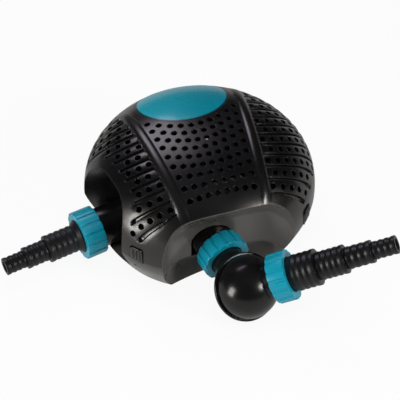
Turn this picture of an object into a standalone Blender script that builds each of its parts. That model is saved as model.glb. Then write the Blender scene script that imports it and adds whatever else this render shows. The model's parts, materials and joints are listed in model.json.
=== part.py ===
# Fountain pump in a domed strainer cage, with a swivel elbow outlet and stepped hose tails.
# Origin: middle of the base underside. +Z up, -Y towards the outlet side, -X towards the inlet side.
# The wet-rotor pump inside the cage is turned a little about Z, so its inlet and outlet follow it.

import math

import bmesh
import bpy
from mathutils import Matrix, Vector

MM = 0.001

# Strainer body
BODY_HALF_X = 140 * MM
BODY_HALF_Y = 135 * MM
BODY_HEIGHT = 151 * MM
WIDEST_Z = 59 * MM
FOOT_HALF_X = 115 * MM
FOOT_POWER = 1.25
CROWN_POWER = 2.43
WALL = 3 * MM
TRAY_HEIGHT = 20 * MM
FLOOR = 3 * MM
SEAT_GAP = 0.3 * MM
DOME_STEPS = 34
DOME_RINGS = 8
HOLLOW_STEPS = 26

# Niches around the two necks: wall at the middle, rise towards the sides and the top of the arch
NICHE_SPRING_Z = 70 * MM
NICHE_SIDE_POWER = 6
NICHE_TOP_POWER = 1.3
NICHE_SPREAD = 1.13
FRONT_NICHE_MIDDLE = 2 * MM
FRONT_NICHE_WALL = 72 * MM
FRONT_NICHE_HALF = 81 * MM
FRONT_NICHE_SIDE_RISE = 37 * MM
FRONT_NICHE_TOP = 124.5 * MM
FRONT_NICHE_TOP_RISE = 35 * MM
LEFT_NICHE_MIDDLE = -6 * MM
LEFT_NICHE_WALL = 74 * MM
LEFT_NICHE_HALF = 53 * MM
LEFT_NICHE_SIDE_RISE = 57 * MM
LEFT_NICHE_TOP = 124.5 * MM
LEFT_NICHE_TOP_RISE = 37 * MM
NICHE_RIM = 10 * MM

# Plain bands, ribbed courses and strainer holes of the cage
BAND_MIDDLE_X = 61.5 * MM
BAND_WIDTH = 11 * MM
BAND_TAPER = 0.125
BAND_RAISE = 1.2 * MM
BAND_LOW_Z = 100 * MM
COURSE_FIRST_Y = 36 * MM
COURSE_PITCH = 15.2 * MM
COURSES_FORWARD = 8
COURSES_BACK = 3
COURSE_LOW_Z = 88 * MM
COURSE_SWEEP = 0.14
GROOVE_WIDTH = 2.2 * MM
GROOVE_DEPTH = 1.5 * MM
GROOVE_SETBACK = 2 * MM
GROOVE_SHORTEST = 6 * MM
HOLE_RADIUS = 3.5 * MM
HOLE_SIDES = 5
HOLE_PITCH = 11.6 * MM
SIDE_HOLE_PITCH = 12.8 * MM
HOLE_EDGE = 5 * MM
ROW_BOW = 22 * MM

# Nameplate on the back of the crown
PLATE_Y = 73 * MM
PLATE_HALF_X = 55.5 * MM
PLATE_HALF_Y = 50 * MM
PLATE_THICK = 1.2 * MM
PLATE_PROUD = 0.3 * MM

# Latches on the four lobes
LATCH_ANGLE = math.radians(40.5)
LATCH_WIDTH = 17 * MM
LATCH_TALL = 22 * MM
LATCH_LOW_Z = 57 * MM
LATCH_THICK = 4 * MM
LATCH_PROUD = 0.6 * MM
LATCH_GAP = 0.4 * MM
LATCH_ARM = 3 * MM
LATCH_PRESS = math.radians(3.5)
LATCH_PIVOT_RISE = 6 * MM
ARM_END_GAP = 2 * MM
ARM_CLEARANCE = 1.5 * MM
GRIP_RIDGES = 3
GRIP_PITCH = 4.6 * MM
GRIP_WIDTH = 2.4 * MM
GRIP_HEIGHT = 1 * MM
GRIP_EDGE = 3.5 * MM
CATCH_THICK = 5 * MM

# Pump unit inside
PUMP_TURN = math.radians(12)
ROTOR_V = 14.5 * MM
OUTLET_U = -22 * MM
CASE_R = 34 * MM
CASE_WALL = 7 * MM
CHAMBER_LENGTH = 41.1 * MM
GASKET = 0.7 * MM
COVER_THICK = 6 * MM
WELL_FLANGE = 3 * MM
WELL_BORE = 15 * MM
WELL_WALL = 1.5 * MM
WELL_DEPTH = 58 * MM
CAN_WALL = 3 * MM
CAN_LENGTH = 62.7 * MM
CAP_THICK = 5 * MM
STATOR_LENGTH = 32 * MM
COIL_LENGTH = 8.4 * MM
SHAFT_R = 2.5 * MM
SHAFT_FIT = 0.05 * MM
BUSH_R = 5 * MM
BUSH_LENGTH = 12 * MM
HUB_R = 9 * MM
MAGNET_GAP = 0.8 * MM
IMPELLER_GAP = 3 * MM
IMPELLER_BACK_ROOM = 9 * MM
VANE_FRONT_ROOM = 6 * MM
VANES = 6
VANE_THICK = 2.2 * MM
DISC_THICK = 2.5 * MM
SPIDER_BAR = 5 * MM
SPIDER_HUB = 6.5 * MM
SCREW_EDGE = 3.5 * MM
SCREW_R = 1.8 * MM
SCREW_HEAD_R = 3.4 * MM
SCREW_HEAD = 3 * MM
SCREW_LENGTH = 18 * MM
FOOT_LENGTH = 14 * MM
FOOT_HALF_WIDTH = 22 * MM
FOOT_RISE = 15 * MM
FOOT_PAD = 3 * MM
GLAND_R = 9 * MM
GLAND_SHOULDER = 4 * MM
GLAND_NOSE_R = 6.5 * MM
GLAND_LENGTH = 16 * MM
GLAND_BORE = 3.2 * MM
CORD_NOTCH_R = 5 * MM
CORD_NOTCH_X = 45 * MM

# Unions: neck, seal, loose flange and fluted nut
NECK_R = 24 * MM
NECK_BORE = 16.5 * MM
NECK_ROOT_R = 19.5 * MM
NECK_HOLE_GAP = 1.5 * MM
NUT_R = 29.5 * MM
INLET_NUT_LENGTH = 25 * MM
ELBOW_NUT_LENGTH = 21 * MM
NUT_LIP = 4 * MM
NUT_FLUTES = 15
FLUTE_DEPTH = 1.4 * MM
THREAD_GAP = 0.3 * MM
FLANGE_THICK = 4 * MM
SEAL_THICK = 2 * MM
COLLAR_R = 20 * MM
COLLAR_GAP = 0.4 * MM
INLET_NUT_STANDOFF = 58.5 * MM
OUTLET_NUT_STANDOFF = 11.5 * MM

# Stepped hose tails: radii over the barbs, from the nut outwards
INLET_STEP_RADII = (16.6 * MM, 13.2 * MM, 10.6 * MM)
OUTLET_STEP_RADII = (21.4 * MM, 16.8 * MM, 13.2 * MM, 10.6 * MM)
INLET_STEP_LENGTHS = (28 * MM, 28 * MM, 26 * MM)
OUTLET_STEP_LENGTHS = (28.5 * MM, 34 * MM, 32 * MM, 28.5 * MM)
INLET_COLLAR = 14 * MM
OUTLET_COLLAR = 4 * MM
RIBS_PER_STEP = 4
RIB_RISE = 3 * MM
RIB_HEIGHT = 1.1 * MM
TAIL_WALL = 3.2 * MM
BORE_LEAD = 9 * MM

# Ball elbow, split at 45 degrees to both of its necks
BALL_R = 37.5 * MM
BALL_WALL = 4 * MM
BALL_NUT_GAP = 45.5 * MM
RIM_R = 40.3 * MM
RIM_THICK = 5 * MM
SEAM_GAP = 0.3 * MM
SEAM_SEAL = 4 * MM
SEAM_SEAL_WALL = 1.8 * MM
SPLIT_ANGLE = math.radians(45)
ELBOW_LEAN = math.radians(6.5)
ELBOW_SWIVEL = math.radians(94)
TAIL_NUT_START = 35 * MM

ROUND_STEPS = 18
CASE_STEPS = 24
BALL_STEPS = 18
BALL_RINGS = 12
SMALL_STEPS = 10

# Derived sizes of the pump
AXIS_Z = FLOOR + FOOT_PAD + CASE_R
CHAMBER_R = CASE_R - CASE_WALL
SCREW_RING = CASE_R - SCREW_EDGE
IMPELLER_R = CHAMBER_R - IMPELLER_GAP
MAGNET_R = WELL_BORE - MAGNET_GAP

# Derived places along the rotor axis (u, positive towards the motor)
FLANGE_FACE = 0.0
CHAMBER_BACK = FLANGE_FACE - GASKET - 2 * SEAT_GAP
CHAMBER_FRONT = CHAMBER_BACK - CHAMBER_LENGTH
COVER_FACE = CHAMBER_FRONT - GASKET - 2 * SEAT_GAP
COVER_FRONT = COVER_FACE - COVER_THICK
CAN_START = WELL_FLANGE + SEAT_GAP
CAN_END = CAN_START + CAN_LENGTH
CAP_START = CAN_END + SEAT_GAP
CAP_END = CAP_START + CAP_THICK
WELL_OUTER = WELL_BORE + WELL_WALL
WELL_END = WELL_DEPTH + 2 * WELL_WALL + SEAT_GAP
COIL_START = CAN_START + 4 * SEAT_GAP
STATOR_START = COIL_START + COIL_LENGTH + SEAT_GAP
STATOR_END = STATOR_START + STATOR_LENGTH
HUB_END = FLANGE_FACE + WELL_FLANGE + SEAT_GAP
DISC_BACK = CHAMBER_BACK - IMPELLER_BACK_ROOM
VANE_FRONT = CHAMBER_FRONT + VANE_FRONT_ROOM
ROTOR_BORE = BUSH_R + SEAT_GAP
BODY_STRETCH = BODY_HALF_Y / BODY_HALF_X
LIFT_LOW = TRAY_HEIGHT + SEAT_GAP

for old in list(bpy.data.objects):
    bpy.data.objects.remove(old, do_unlink=True)

parts = bpy.data.collections.new("fountain_pump")
cutters = bpy.data.collections.new("cutters")
bpy.context.scene.collection.children.link(parts)
bpy.context.scene.collection.children.link(cutters)


def material(name, color, roughness, metallic=0.0):
    made = bpy.data.materials.new(name)
    made.use_nodes = True
    shader = made.node_tree.nodes["Principled BSDF"]
    shader.inputs["Base Color"].default_value = (*color, 1.0)
    shader.inputs["Roughness"].default_value = roughness
    shader.inputs["Metallic"].default_value = metallic
    return made


FINISHES = {
    "black": ((0.012, 0.012, 0.013), 0.38, 0.0),
    "gloss": ((0.008, 0.008, 0.009), 0.18, 0.0),
    "teal": ((0.004, 0.27, 0.38), 0.32, 0.0),
    "plate": ((0.01, 0.22, 0.30), 0.3, 0.0),
    "rubber": ((0.02, 0.02, 0.02), 0.8, 0.0),
    "resin": ((0.05, 0.05, 0.055), 0.45, 0.0),
    "steel": ((0.55, 0.55, 0.56), 0.3, 1.0),
    "copper": ((0.6, 0.27, 0.14), 0.35, 1.0),
    "ceramic": ((0.85, 0.84, 0.8), 0.25, 0.0),
    "magnet": ((0.06, 0.06, 0.065), 0.5, 0.3),
}


def place(name, mesh, finish, frame):
    piece = bpy.data.objects.new(name, mesh)
    if finish is None:
        cutters.objects.link(piece)
        piece.hide_render = True
        piece.display_type = 'WIRE'
    else:
        parts.objects.link(piece)
        mesh.materials.append(material(name, *FINISHES[finish]))
    piece.parent = frame
    return piece


def axis_frame(name, origin, direction, side):
    empty = bpy.data.objects.new(name, None)
    parts.objects.link(empty)
    z_axis = direction.normalized()
    y_axis = z_axis.cross(side).normalized()
    x_axis = y_axis.cross(z_axis)
    turn = Matrix((x_axis, y_axis, z_axis)).transposed()
    empty.matrix_world = Matrix.Translation(origin) @ turn.to_4x4()
    return empty


def turned(name, outline, finish, frame, steps=ROUND_STEPS):
    # outline holds (radius, height) points; a loop that stays off the axis is closed
    area = 0.0
    for (r1, h1), (r2, h2) in zip(outline, outline[1:] + outline[:1]):
        area += r1 * h2 - r2 * h1
    if area > 0:
        outline = outline[::-1]
    mesh = bpy.data.meshes.new(name)
    edges = [(i, i + 1) for i in range(len(outline) - 1)]
    on_axis = min(outline[0][0], outline[-1][0]) == 0.0
    if not on_axis:
        edges.append((len(outline) - 1, 0))
    mesh.from_pydata([(r, 0.0, h) for r, h in outline], edges, [])
    piece = place(name, mesh, finish, frame)
    screw = piece.modifiers.new("turn", 'SCREW')
    screw.axis = 'Z'
    screw.angle = 2 * math.pi
    screw.steps = steps
    screw.render_steps = steps
    screw.use_merge_vertices = True
    screw.merge_threshold = 0.000001
    screw.use_smooth_shade = True
    return piece


def ring(name, inner, outer, low, high, finish, frame, steps=ROUND_STEPS):
    return turned(name, [(outer, high), (outer, low), (inner, low), (inner, high)], finish, frame, steps)


def rod(name, radius, low, high, finish, frame, steps=ROUND_STEPS):
    return turned(name, [(0.0, high), (radius, high), (radius, low), (0.0, low)], finish, frame, steps)


def prism(name, outline, low, high, finish, frame):
    # outline holds (x, y) points; it is raised along z
    mesh = bpy.data.meshes.new(name)
    shape = bmesh.new()
    face = shape.faces.new([shape.verts.new((x, y, low)) for x, y in outline])
    raised = bmesh.ops.extrude_face_region(shape, geom=[face])
    top = [v for v in raised["geom"] if isinstance(v, bmesh.types.BMVert)]
    bmesh.ops.translate(shape, verts=top, vec=(0.0, 0.0, high - low))
    bmesh.ops.recalc_face_normals(shape, faces=shape.faces)
    shape.to_mesh(mesh)
    shape.free()
    return place(name, mesh, finish, frame)


def boxes(name, spans, finish, frame):
    # spans holds (low corner, high corner) pairs of boxes that don't touch each other
    mesh = bpy.data.meshes.new(name)
    shape = bmesh.new()
    for low, high in spans:
        low, high = Vector(low), Vector(high)
        grow = Matrix.Diagonal((*(high - low), 1.0))
        bmesh.ops.create_cube(shape, size=1.0, matrix=Matrix.Translation((low + high) / 2) @ grow)
    shape.to_mesh(mesh)
    shape.free()
    return place(name, mesh, finish, frame)


# Many coplanar and touching cuts meet on these pieces, which the exact solver leaves open
MANY_CUTS = ("upper_cage", "base_tray", "volute")


def combine(piece, other, operation='DIFFERENCE'):
    step = piece.modifiers.new(other.name, 'BOOLEAN')
    step.object = other
    step.operation = operation
    step.solver = 'MANIFOLD' if piece.name in MANY_CUTS else 'EXACT'
    return piece


# Form of the strainer body

def crown_height():
    return BODY_HEIGHT - WIDEST_Z


def foot_taper():
    return 1.0 - FOOT_HALF_X / BODY_HALF_X


def body_ratio(z):
    # share of the widest outline that the body has at height z
    if z >= WIDEST_Z:
        rise = min((z - WIDEST_Z) / crown_height(), 1.0)
        return (1.0 - rise ** CROWN_POWER) ** (1.0 / CROWN_POWER)
    drop = (WIDEST_Z - z) / WIDEST_Z
    return 1.0 - foot_taper() * drop ** FOOT_POWER


def crown_z(x, y):
    share = math.hypot(x / BODY_HALF_X, y / BODY_HALF_Y)
    if share >= 1.0:
        return WIDEST_Z
    return WIDEST_Z + crown_height() * (1.0 - share ** CROWN_POWER) ** (1.0 / CROWN_POWER)


def crown_normal(x, y, z):
    share = max(math.hypot(x / BODY_HALF_X, y / BODY_HALF_Y), 0.000001)
    pull = share ** (CROWN_POWER - 2.0)
    rise = ((z - WIDEST_Z) / crown_height()) ** (CROWN_POWER - 1.0) / crown_height()
    return Vector((x / BODY_HALF_X ** 2 * pull, y / BODY_HALF_Y ** 2 * pull, rise)).normalized()


def body_outline(inset, low, high=None):
    # half section of the body, inset from the outer face, between two heights
    power = CROWN_POWER
    curve = [(0.0, BODY_HEIGHT - inset)]
    for i in range(1, DOME_RINGS + 1):
        turn = math.pi / 2 * (1.0 - i / DOME_RINGS)
        r = math.cos(turn) ** (2 / power)
        h = math.sin(turn) ** (2 / power)
        normal = Vector((r ** (power - 1) / BODY_HALF_X, h ** (power - 1) / crown_height())).normalized()
        curve.append((r * BODY_HALF_X - normal.x * inset, WIDEST_Z + h * crown_height() - normal.y * inset))
    for i in range(1, 7):
        drop = i / 5
        z = WIDEST_Z * (1.0 - drop)
        r = BODY_HALF_X * body_ratio(z)
        slope = BODY_HALF_X * foot_taper() * FOOT_POWER * drop ** (FOOT_POWER - 1.0) / WIDEST_Z
        normal = Vector((1.0, -slope)).normalized()
        curve.append((r - normal.x * inset, z - normal.y * inset))
    kept = []
    for (r1, z1), (r2, z2) in zip(curve, curve[1:]):
        if high is None or z1 <= high:
            kept.append((r1, z1))
        elif z2 < high:
            kept.append((0.0, high))
            kept.append((r1 + (r2 - r1) * (z1 - high) / (z1 - z2), high))
        if z2 < low:
            if z1 > low:
                kept.append((r1 + (r2 - r1) * (z1 - low) / (z1 - z2), low))
            break
    kept.append((0.0, low))
    return kept


def body_solid(name, inset, low, high=None, finish=None, steps=DOME_STEPS):
    piece = turned(name, body_outline(inset, low, high), finish, None, steps)
    piece.scale = (1.0, BODY_STRETCH, 1.0)
    return piece


def niche_wall(across, z, middle, wall, half, side_rise, top, top_rise):
    climb = max(z - NICHE_SPRING_Z, 0.0) / (top - NICHE_SPRING_Z)
    spread = abs(across - middle) / half
    return wall + side_rise * spread ** NICHE_SIDE_POWER + top_rise * climb ** NICHE_TOP_POWER


def grown(form, grow):
    # form of a niche whose wall is moved inwards by grow
    middle, wall, half, side_rise, top, top_rise = form
    return middle, wall - grow, half + grow, side_rise, top + grow, top_rise


def niche_cutter(name, form, frame_turn):
    # everything outside a niche's wall
    middle, wall, half, side_rise, top, top_rise = form
    columns, rows = 10, 6
    reach = 0.0
    mesh = bpy.data.meshes.new(name)
    shape = bmesh.new()
    made = bmesh.ops.create_grid(shape, x_segments=columns, y_segments=rows, size=1.0)
    for point in made["verts"]:
        spread = math.copysign(math.sqrt(abs(point.co.x)), point.co.x)
        across = middle + spread * half * NICHE_SPREAD
        level = point.co.y * (rows / 2) + rows / 2
        if level < 0.5:
            z = -TRAY_HEIGHT
        else:
            z = NICHE_SPRING_Z + (level - 1.0) / (rows - 1.0) * (top - NICHE_SPRING_Z) * 1.5
        depth = niche_wall(across, z, *form)
        point.co = (across, -depth, z)
        reach = max(reach, depth + WALL)
    raised = bmesh.ops.extrude_face_region(shape, geom=list(shape.faces))
    for point in raised["geom"]:
        if isinstance(point, bmesh.types.BMVert):
            point.co.y = -reach
    bmesh.ops.recalc_face_normals(shape, faces=shape.faces)
    shape.to_mesh(mesh)
    shape.free()
    piece = place(name, mesh, None, None)
    piece.rotation_euler = (0.0, 0.0, frame_turn)
    return piece


FRONT_FORM = (FRONT_NICHE_MIDDLE, FRONT_NICHE_WALL, FRONT_NICHE_HALF, FRONT_NICHE_SIDE_RISE, FRONT_NICHE_TOP,
              FRONT_NICHE_TOP_RISE)
LEFT_FORM = (LEFT_NICHE_MIDDLE, LEFT_NICHE_WALL, LEFT_NICHE_HALF, LEFT_NICHE_SIDE_RISE, LEFT_NICHE_TOP,
             LEFT_NICHE_TOP_RISE)
LEFT_TURN = PUMP_TURN - math.pi / 2

# Axes of the pump

U = Vector((math.cos(PUMP_TURN), math.sin(PUMP_TURN), 0.0))
V = Vector((-math.sin(PUMP_TURN), math.cos(PUMP_TURN), 0.0))
UP = Vector((0.0, 0.0, 1.0))
ROTOR_POINT = V * ROTOR_V + UP * AXIS_Z
OUTLET_POINT = U * OUTLET_U + UP * AXIS_Z
INLET_NUT = LEFT_NICHE_WALL + INLET_NUT_STANDOFF
OUTLET_NUT = FRONT_NICHE_WALL + OUTLET_NUT_STANDOFF
BALL_AT = OUTLET_NUT + ELBOW_NUT_LENGTH + BALL_NUT_GAP
BALL_POINT = OUTLET_POINT - V * BALL_AT
SEAM = (-V * math.cos(SPLIT_ANGLE)
        + (UP * math.cos(ELBOW_LEAN) + U * math.sin(ELBOW_LEAN)) * math.sin(SPLIT_ANGLE))
TAIL = Matrix.Rotation(ELBOW_SWIVEL, 3, SEAM) @ -V

rotor_frame = axis_frame("rotor_axis", ROTOR_POINT, U, UP)
inlet_frame = axis_frame("inlet_axis", ROTOR_POINT, -U, UP)
outlet_frame = axis_frame("outlet_axis", OUTLET_POINT, -V, UP)
seam_frame = axis_frame("seam_axis", BALL_POINT, SEAM, UP)
tail_frame = axis_frame("tail_axis", BALL_POINT, TAIL, UP)


# Places along a union, measured from the rear face of its nut

def union_places(nut_start, nut_length):
    lip = nut_start + nut_length - NUT_LIP
    flange_front = lip - SEAT_GAP
    flange_back = flange_front - FLANGE_THICK
    seal_front = flange_back - SEAT_GAP
    seal_back = seal_front - SEAL_THICK
    return {"lip": lip, "front": nut_start + nut_length, "flange": (flange_back, flange_front),
            "seal": (seal_back, seal_front), "neck_end": seal_back - SEAT_GAP}


def neck_cutter(name, frame, low, high):
    return rod(name, NECK_R + NECK_HOLE_GAP, low, high, None, frame)


# Base tray: the left niche ends on it in a ledge, the front niche goes through it

front_scoop = niche_cutter("front_scoop", FRONT_FORM, 0.0)
left_scoop = niche_cutter("left_scoop", LEFT_FORM, LEFT_TURN)
front_backing = niche_cutter("front_backing", grown(FRONT_FORM, WALL), 0.0)
left_backing = niche_cutter("left_backing", grown(LEFT_FORM, WALL), LEFT_TURN)
INLET_WAY_START = LEFT_NICHE_WALL - 3 * WALL
OUTLET_WAY_START = CASE_R + NECK_HOLE_GAP
inlet_way = neck_cutter("inlet_way", inlet_frame, INLET_WAY_START, INLET_NUT)
outlet_way = neck_cutter("outlet_way", outlet_frame, OUTLET_WAY_START, OUTLET_NUT)

tray_hollow = body_solid("tray_hollow", WALL, FLOOR, TRAY_HEIGHT * 2, None, HOLLOW_STEPS)
combine(tray_hollow, front_backing)
combine(tray_hollow, left_backing)

base_tray = body_solid("base_tray", 0.0, 0.0, TRAY_HEIGHT, "black")
combine(base_tray, front_scoop)
combine(base_tray, tray_hollow)
combine(base_tray, inlet_way)
combine(base_tray, outlet_way)

# Latch section: r is the distance from the middle along the lobe, z the height
LOBE_R = 1.0 / math.hypot(math.cos(LATCH_ANGLE) / BODY_HALF_X, math.sin(LATCH_ANGLE) / BODY_HALF_Y)
LATCH_FACE = LOBE_R + LATCH_PROUD
LATCH_PIVOT_R = LATCH_FACE - LATCH_THICK - LATCH_ARM / 2
LATCH_PIVOT_Z = LATCH_LOW_Z + LATCH_PIVOT_RISE
ARM_LOW_Z = TRAY_HEIGHT + ARM_END_GAP
# The end of the arm swings outwards, inside a hollow with flat facets
FACET_DEPTH = LOBE_R * (1.0 - math.cos(math.pi / HOLLOW_STEPS)) + LATCH_WIDTH ** 2 / (8 * LOBE_R)
LATCH_SWING = (LATCH_PIVOT_Z - ARM_LOW_Z) * math.tan(LATCH_PRESS) + FACET_DEPTH + ARM_CLEARANCE


def lobe_inside(z):
    return LOBE_R * body_ratio(z) - WALL


def arm_face(z):
    return lobe_inside(z) - LATCH_SWING


LOBES = {
    "front_left": math.pi + LATCH_ANGLE,
    "front_right": -LATCH_ANGLE,
    "rear_left": math.pi - LATCH_ANGLE,
    "rear_right": LATCH_ANGLE,
}

CATCH_FACE = arm_face(ARM_LOW_Z) - LATCH_ARM - SEAT_GAP
catch_room = body_solid("catch_room", WALL / 2, FLOOR / 2)
lobe_frames = {}
for lobe, bearing in LOBES.items():
    outward = Vector((math.cos(bearing), math.sin(bearing), 0.0))
    hinge = axis_frame("hinge_" + lobe, outward * LATCH_PIVOT_R + UP * LATCH_PIVOT_Z, outward.cross(UP), outward)
    lobe_frames[lobe] = hinge
    post = boxes("catch_" + lobe, [((CATCH_FACE - CATCH_THICK - LATCH_PIVOT_R, FLOOR / 2 - LATCH_PIVOT_Z,
                                     -LATCH_WIDTH / 2),
                                    (CATCH_FACE - LATCH_PIVOT_R, ARM_LOW_Z + LATCH_PIVOT_RISE - LATCH_PIVOT_Z,
                                     LATCH_WIDTH / 2))], None, hinge)
    combine(post, catch_room, 'INTERSECT')
    combine(base_tray, post, 'UNION')

cord_notch = rod("cord_notch", CORD_NOTCH_R, 0.0, BODY_HALF_Y * 2, None,
                 axis_frame("cord_way", Vector((CORD_NOTCH_X, 0.0, LIFT_LOW)), Vector((0.0, 1.0, 0.0)), UP),
                 SMALL_STEPS)
combine(base_tray, cord_notch)

# Upper cage

upper_cage = body_solid("upper_cage", 0.0, LIFT_LOW, None, "black")

band_skin = body_solid("band_skin", -BAND_RAISE, BAND_LOW_Z)
for side in (-1, 1):
    outline = []
    for y, edge in ((1, -1), (1, 1), (-1, 1), (-1, -1)):
        reach = y * BODY_HALF_Y
        outline.append((side * (BAND_MIDDLE_X + edge * BAND_WIDTH / 2 + BAND_TAPER * reach), reach))
    band = prism("band_left" if side < 0 else "band_right", outline, BAND_LOW_Z * 1.05, BODY_HEIGHT * 1.2,
                 None, None)
    combine(band, band_skin, 'INTERSECT')
    combine(upper_cage, band, 'UNION')


def band_outer(y):
    return BAND_MIDDLE_X + BAND_WIDTH / 2 + BAND_TAPER * y


def band_inner(y):
    return BAND_MIDDLE_X - BAND_WIDTH / 2 + BAND_TAPER * y


def niche_clear(x, y, z, margin):
    # true where a point of the crown stands clear of both niches
    depth = x * math.sin(LEFT_TURN) - y * math.cos(LEFT_TURN)
    side = x * math.cos(LEFT_TURN) + y * math.sin(LEFT_TURN)
    left_free = depth < niche_wall(side, z, *grown(LEFT_FORM, margin))
    front_free = -y < niche_wall(x, z, *grown(FRONT_FORM, margin))
    return left_free and front_free


course_rows = [COURSE_FIRST_Y - COURSE_PITCH * i for i in range(-COURSES_BACK, COURSES_FORWARD + 1)]


def swept(x, y):
    # a course runs back a little on its way out from the band
    return y + COURSE_SWEEP * (x - BAND_MIDDLE_X)


def course_low(x_side, row_y):
    # lowest height of a ribbed course, clear of the niches
    z = BODY_HEIGHT
    x = band_outer(row_y)
    while z > COURSE_LOW_Z:
        x += MM
        y = swept(x, row_y)
        if math.hypot(x / BODY_HALF_X, y / BODY_HALF_Y) > 0.995:
            break
        z = crown_z(x, y)
        if not niche_clear(x_side * x, y, z, NICHE_RIM):
            break
    return max(z, COURSE_LOW_Z)


groove_spans = []
for y in course_rows:
    groove_y = y - COURSE_PITCH / 2
    for side in (-1, 1):
        low = max(course_low(side, groove_y), COURSE_LOW_Z)
        start = band_outer(groove_y) + GROOVE_SETBACK
        if low + GROOVE_SHORTEST > crown_z(start, groove_y):
            continue
        near, far = sorted((side * start, side * BODY_HALF_X * 1.1))
        groove_spans.append(((near, groove_y - GROOVE_WIDTH / 2, low),
                             (far, groove_y + GROOVE_WIDTH / 2, BODY_HEIGHT * 1.1)))
grooves = boxes("grooves", groove_spans, None, None)
for point in grooves.data.vertices:
    point.co.y = swept(abs(point.co.x), point.co.y)
combine(grooves, body_solid("groove_floor", GROOVE_DEPTH, WIDEST_Z))
combine(upper_cage, grooves)

plate_recess = rod("plate_recess", 1.0, WIDEST_Z, BODY_HEIGHT * 1.2, None, None, DOME_STEPS)
plate_recess.location = (0.0, PLATE_Y, 0.0)
plate_recess.scale = (PLATE_HALF_X + SEAT_GAP, PLATE_HALF_Y + SEAT_GAP, 1.0)
combine(plate_recess, body_solid("recess_floor", PLATE_THICK + SEAT_GAP, 0.0))
combine(upper_cage, plate_recess)

combine(upper_cage, front_scoop)
combine(upper_cage, left_scoop)
cage_hollow = body_solid("cage_hollow", WALL, TRAY_HEIGHT / 2, None, None, HOLLOW_STEPS)
combine(cage_hollow, front_backing)
combine(cage_hollow, left_backing)
combine(upper_cage, cage_hollow)


def slot_cutter(name, frame, low, high):
    # way for a neck through a niche wall, open at the bottom so that the cage lifts off
    cutter = neck_cutter(name, frame, low, high)
    half = NECK_R + NECK_HOLE_GAP
    combine(cutter, boxes(name + "_mouth", [((-AXIS_Z, -half, low), (0.0, half, high))], None, frame), 'UNION')
    return cutter


combine(upper_cage, slot_cutter("inlet_slot", inlet_frame, INLET_WAY_START, INLET_NUT))
combine(upper_cage, slot_cutter("outlet_slot", outlet_frame, OUTLET_WAY_START, OUTLET_NUT))
combine(upper_cage, cord_notch)

hole_places = []
for row, y_end in enumerate(course_rows[COURSES_BACK:]):
    bow = ROW_BOW * (1.0 - row / COURSES_FORWARD)
    half = band_inner(y_end) - HOLE_EDGE
    count = int(2 * half / HOLE_PITCH) + 1
    if (count + row) % 2 == 0:
        count -= 1
    for i in range(count):
        x = (i - (count - 1) / 2) * HOLE_PITCH
        y = y_end - bow * (1.0 - (x / half) ** 2)
        plate_share = math.hypot(x / (PLATE_HALF_X + HOLE_EDGE), (y - PLATE_Y) / (PLATE_HALF_Y + HOLE_EDGE))
        if plate_share > 1.0 and niche_clear(x, y, crown_z(x, y), NICHE_RIM):
            hole_places.append((x, y))
for row, row_y in enumerate(course_rows):
    for side in (-1, 1):
        x = band_outer(row_y) + HOLE_EDGE
        y = swept(x, row_y)
        z = crown_z(x, y)
        travel = SIDE_HOLE_PITCH if row % 2 else SIDE_HOLE_PITCH / 2
        low = course_low(side, row_y)
        while z > low + HOLE_RADIUS and math.hypot(x / BODY_HALF_X, y / BODY_HALF_Y) < 0.985:
            if travel >= SIDE_HOLE_PITCH:
                hole_places.append((side * x, y))
                travel = 0.0
            x += MM
            y = swept(x, row_y)
            travel += math.hypot(MM, crown_z(x, y) - z)
            z = crown_z(x, y)

hole_mesh = bpy.data.meshes.new("strainer_holes")
hole_shape = bmesh.new()
for x, y in hole_places:
    z = crown_z(x, y)
    normal = crown_normal(x, y, z)
    turn = normal.to_track_quat('Z', 'Y').to_matrix().to_4x4()
    bmesh.ops.create_cone(hole_shape, cap_ends=True, segments=HOLE_SIDES, radius1=HOLE_RADIUS,
                          radius2=HOLE_RADIUS, depth=WALL * 4,
                          matrix=Matrix.Translation((x, y, z)) @ turn)
hole_shape.to_mesh(hole_mesh)
hole_shape.free()
combine(upper_cage, place("strainer_holes", hole_mesh, None, None))

# Latches: a grip plate in a pocket of the lobe, with an arm down to the catch of the tray


def latch_outline():
    # r and z from the pivot, clockwise from the top of the plate
    top = LATCH_LOW_Z + LATCH_TALL
    back = LATCH_FACE - LATCH_THICK
    face = [(LATCH_FACE, top), (LATCH_FACE, LATCH_LOW_Z), (back, LATCH_LOW_Z)]
    arm_top = min(arm_face(LATCH_LOW_Z), back - MM)
    levels = [LATCH_LOW_Z - (LATCH_LOW_Z - ARM_LOW_Z) * i / 3 for i in range(4)]
    outer = [(min(arm_face(z), arm_top), z) for z in levels]
    inner = [(r - LATCH_ARM, z) for r, z in reversed(outer)]
    root = [(arm_top - LATCH_ARM, LATCH_LOW_Z + LATCH_PIVOT_RISE), (back, LATCH_LOW_Z + 2 * LATCH_PIVOT_RISE)]
    loop = face + outer + inner + root + [(back, top)]
    return [(r - LATCH_PIVOT_R, z - LATCH_PIVOT_Z) for r, z in loop]


grip_spans = []
for i in range(GRIP_RIDGES):
    across = (i - (GRIP_RIDGES - 1) / 2) * GRIP_PITCH
    foot = LATCH_FACE - LATCH_PIVOT_R - LATCH_THICK / 2
    grip_spans.append(((foot, LATCH_LOW_Z + GRIP_EDGE - LATCH_PIVOT_Z, across - GRIP_WIDTH / 2),
                       (foot + LATCH_THICK / 2 + GRIP_HEIGHT, LATCH_LOW_Z + LATCH_TALL - GRIP_EDGE - LATCH_PIVOT_Z,
                        across + GRIP_WIDTH / 2)))

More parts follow.
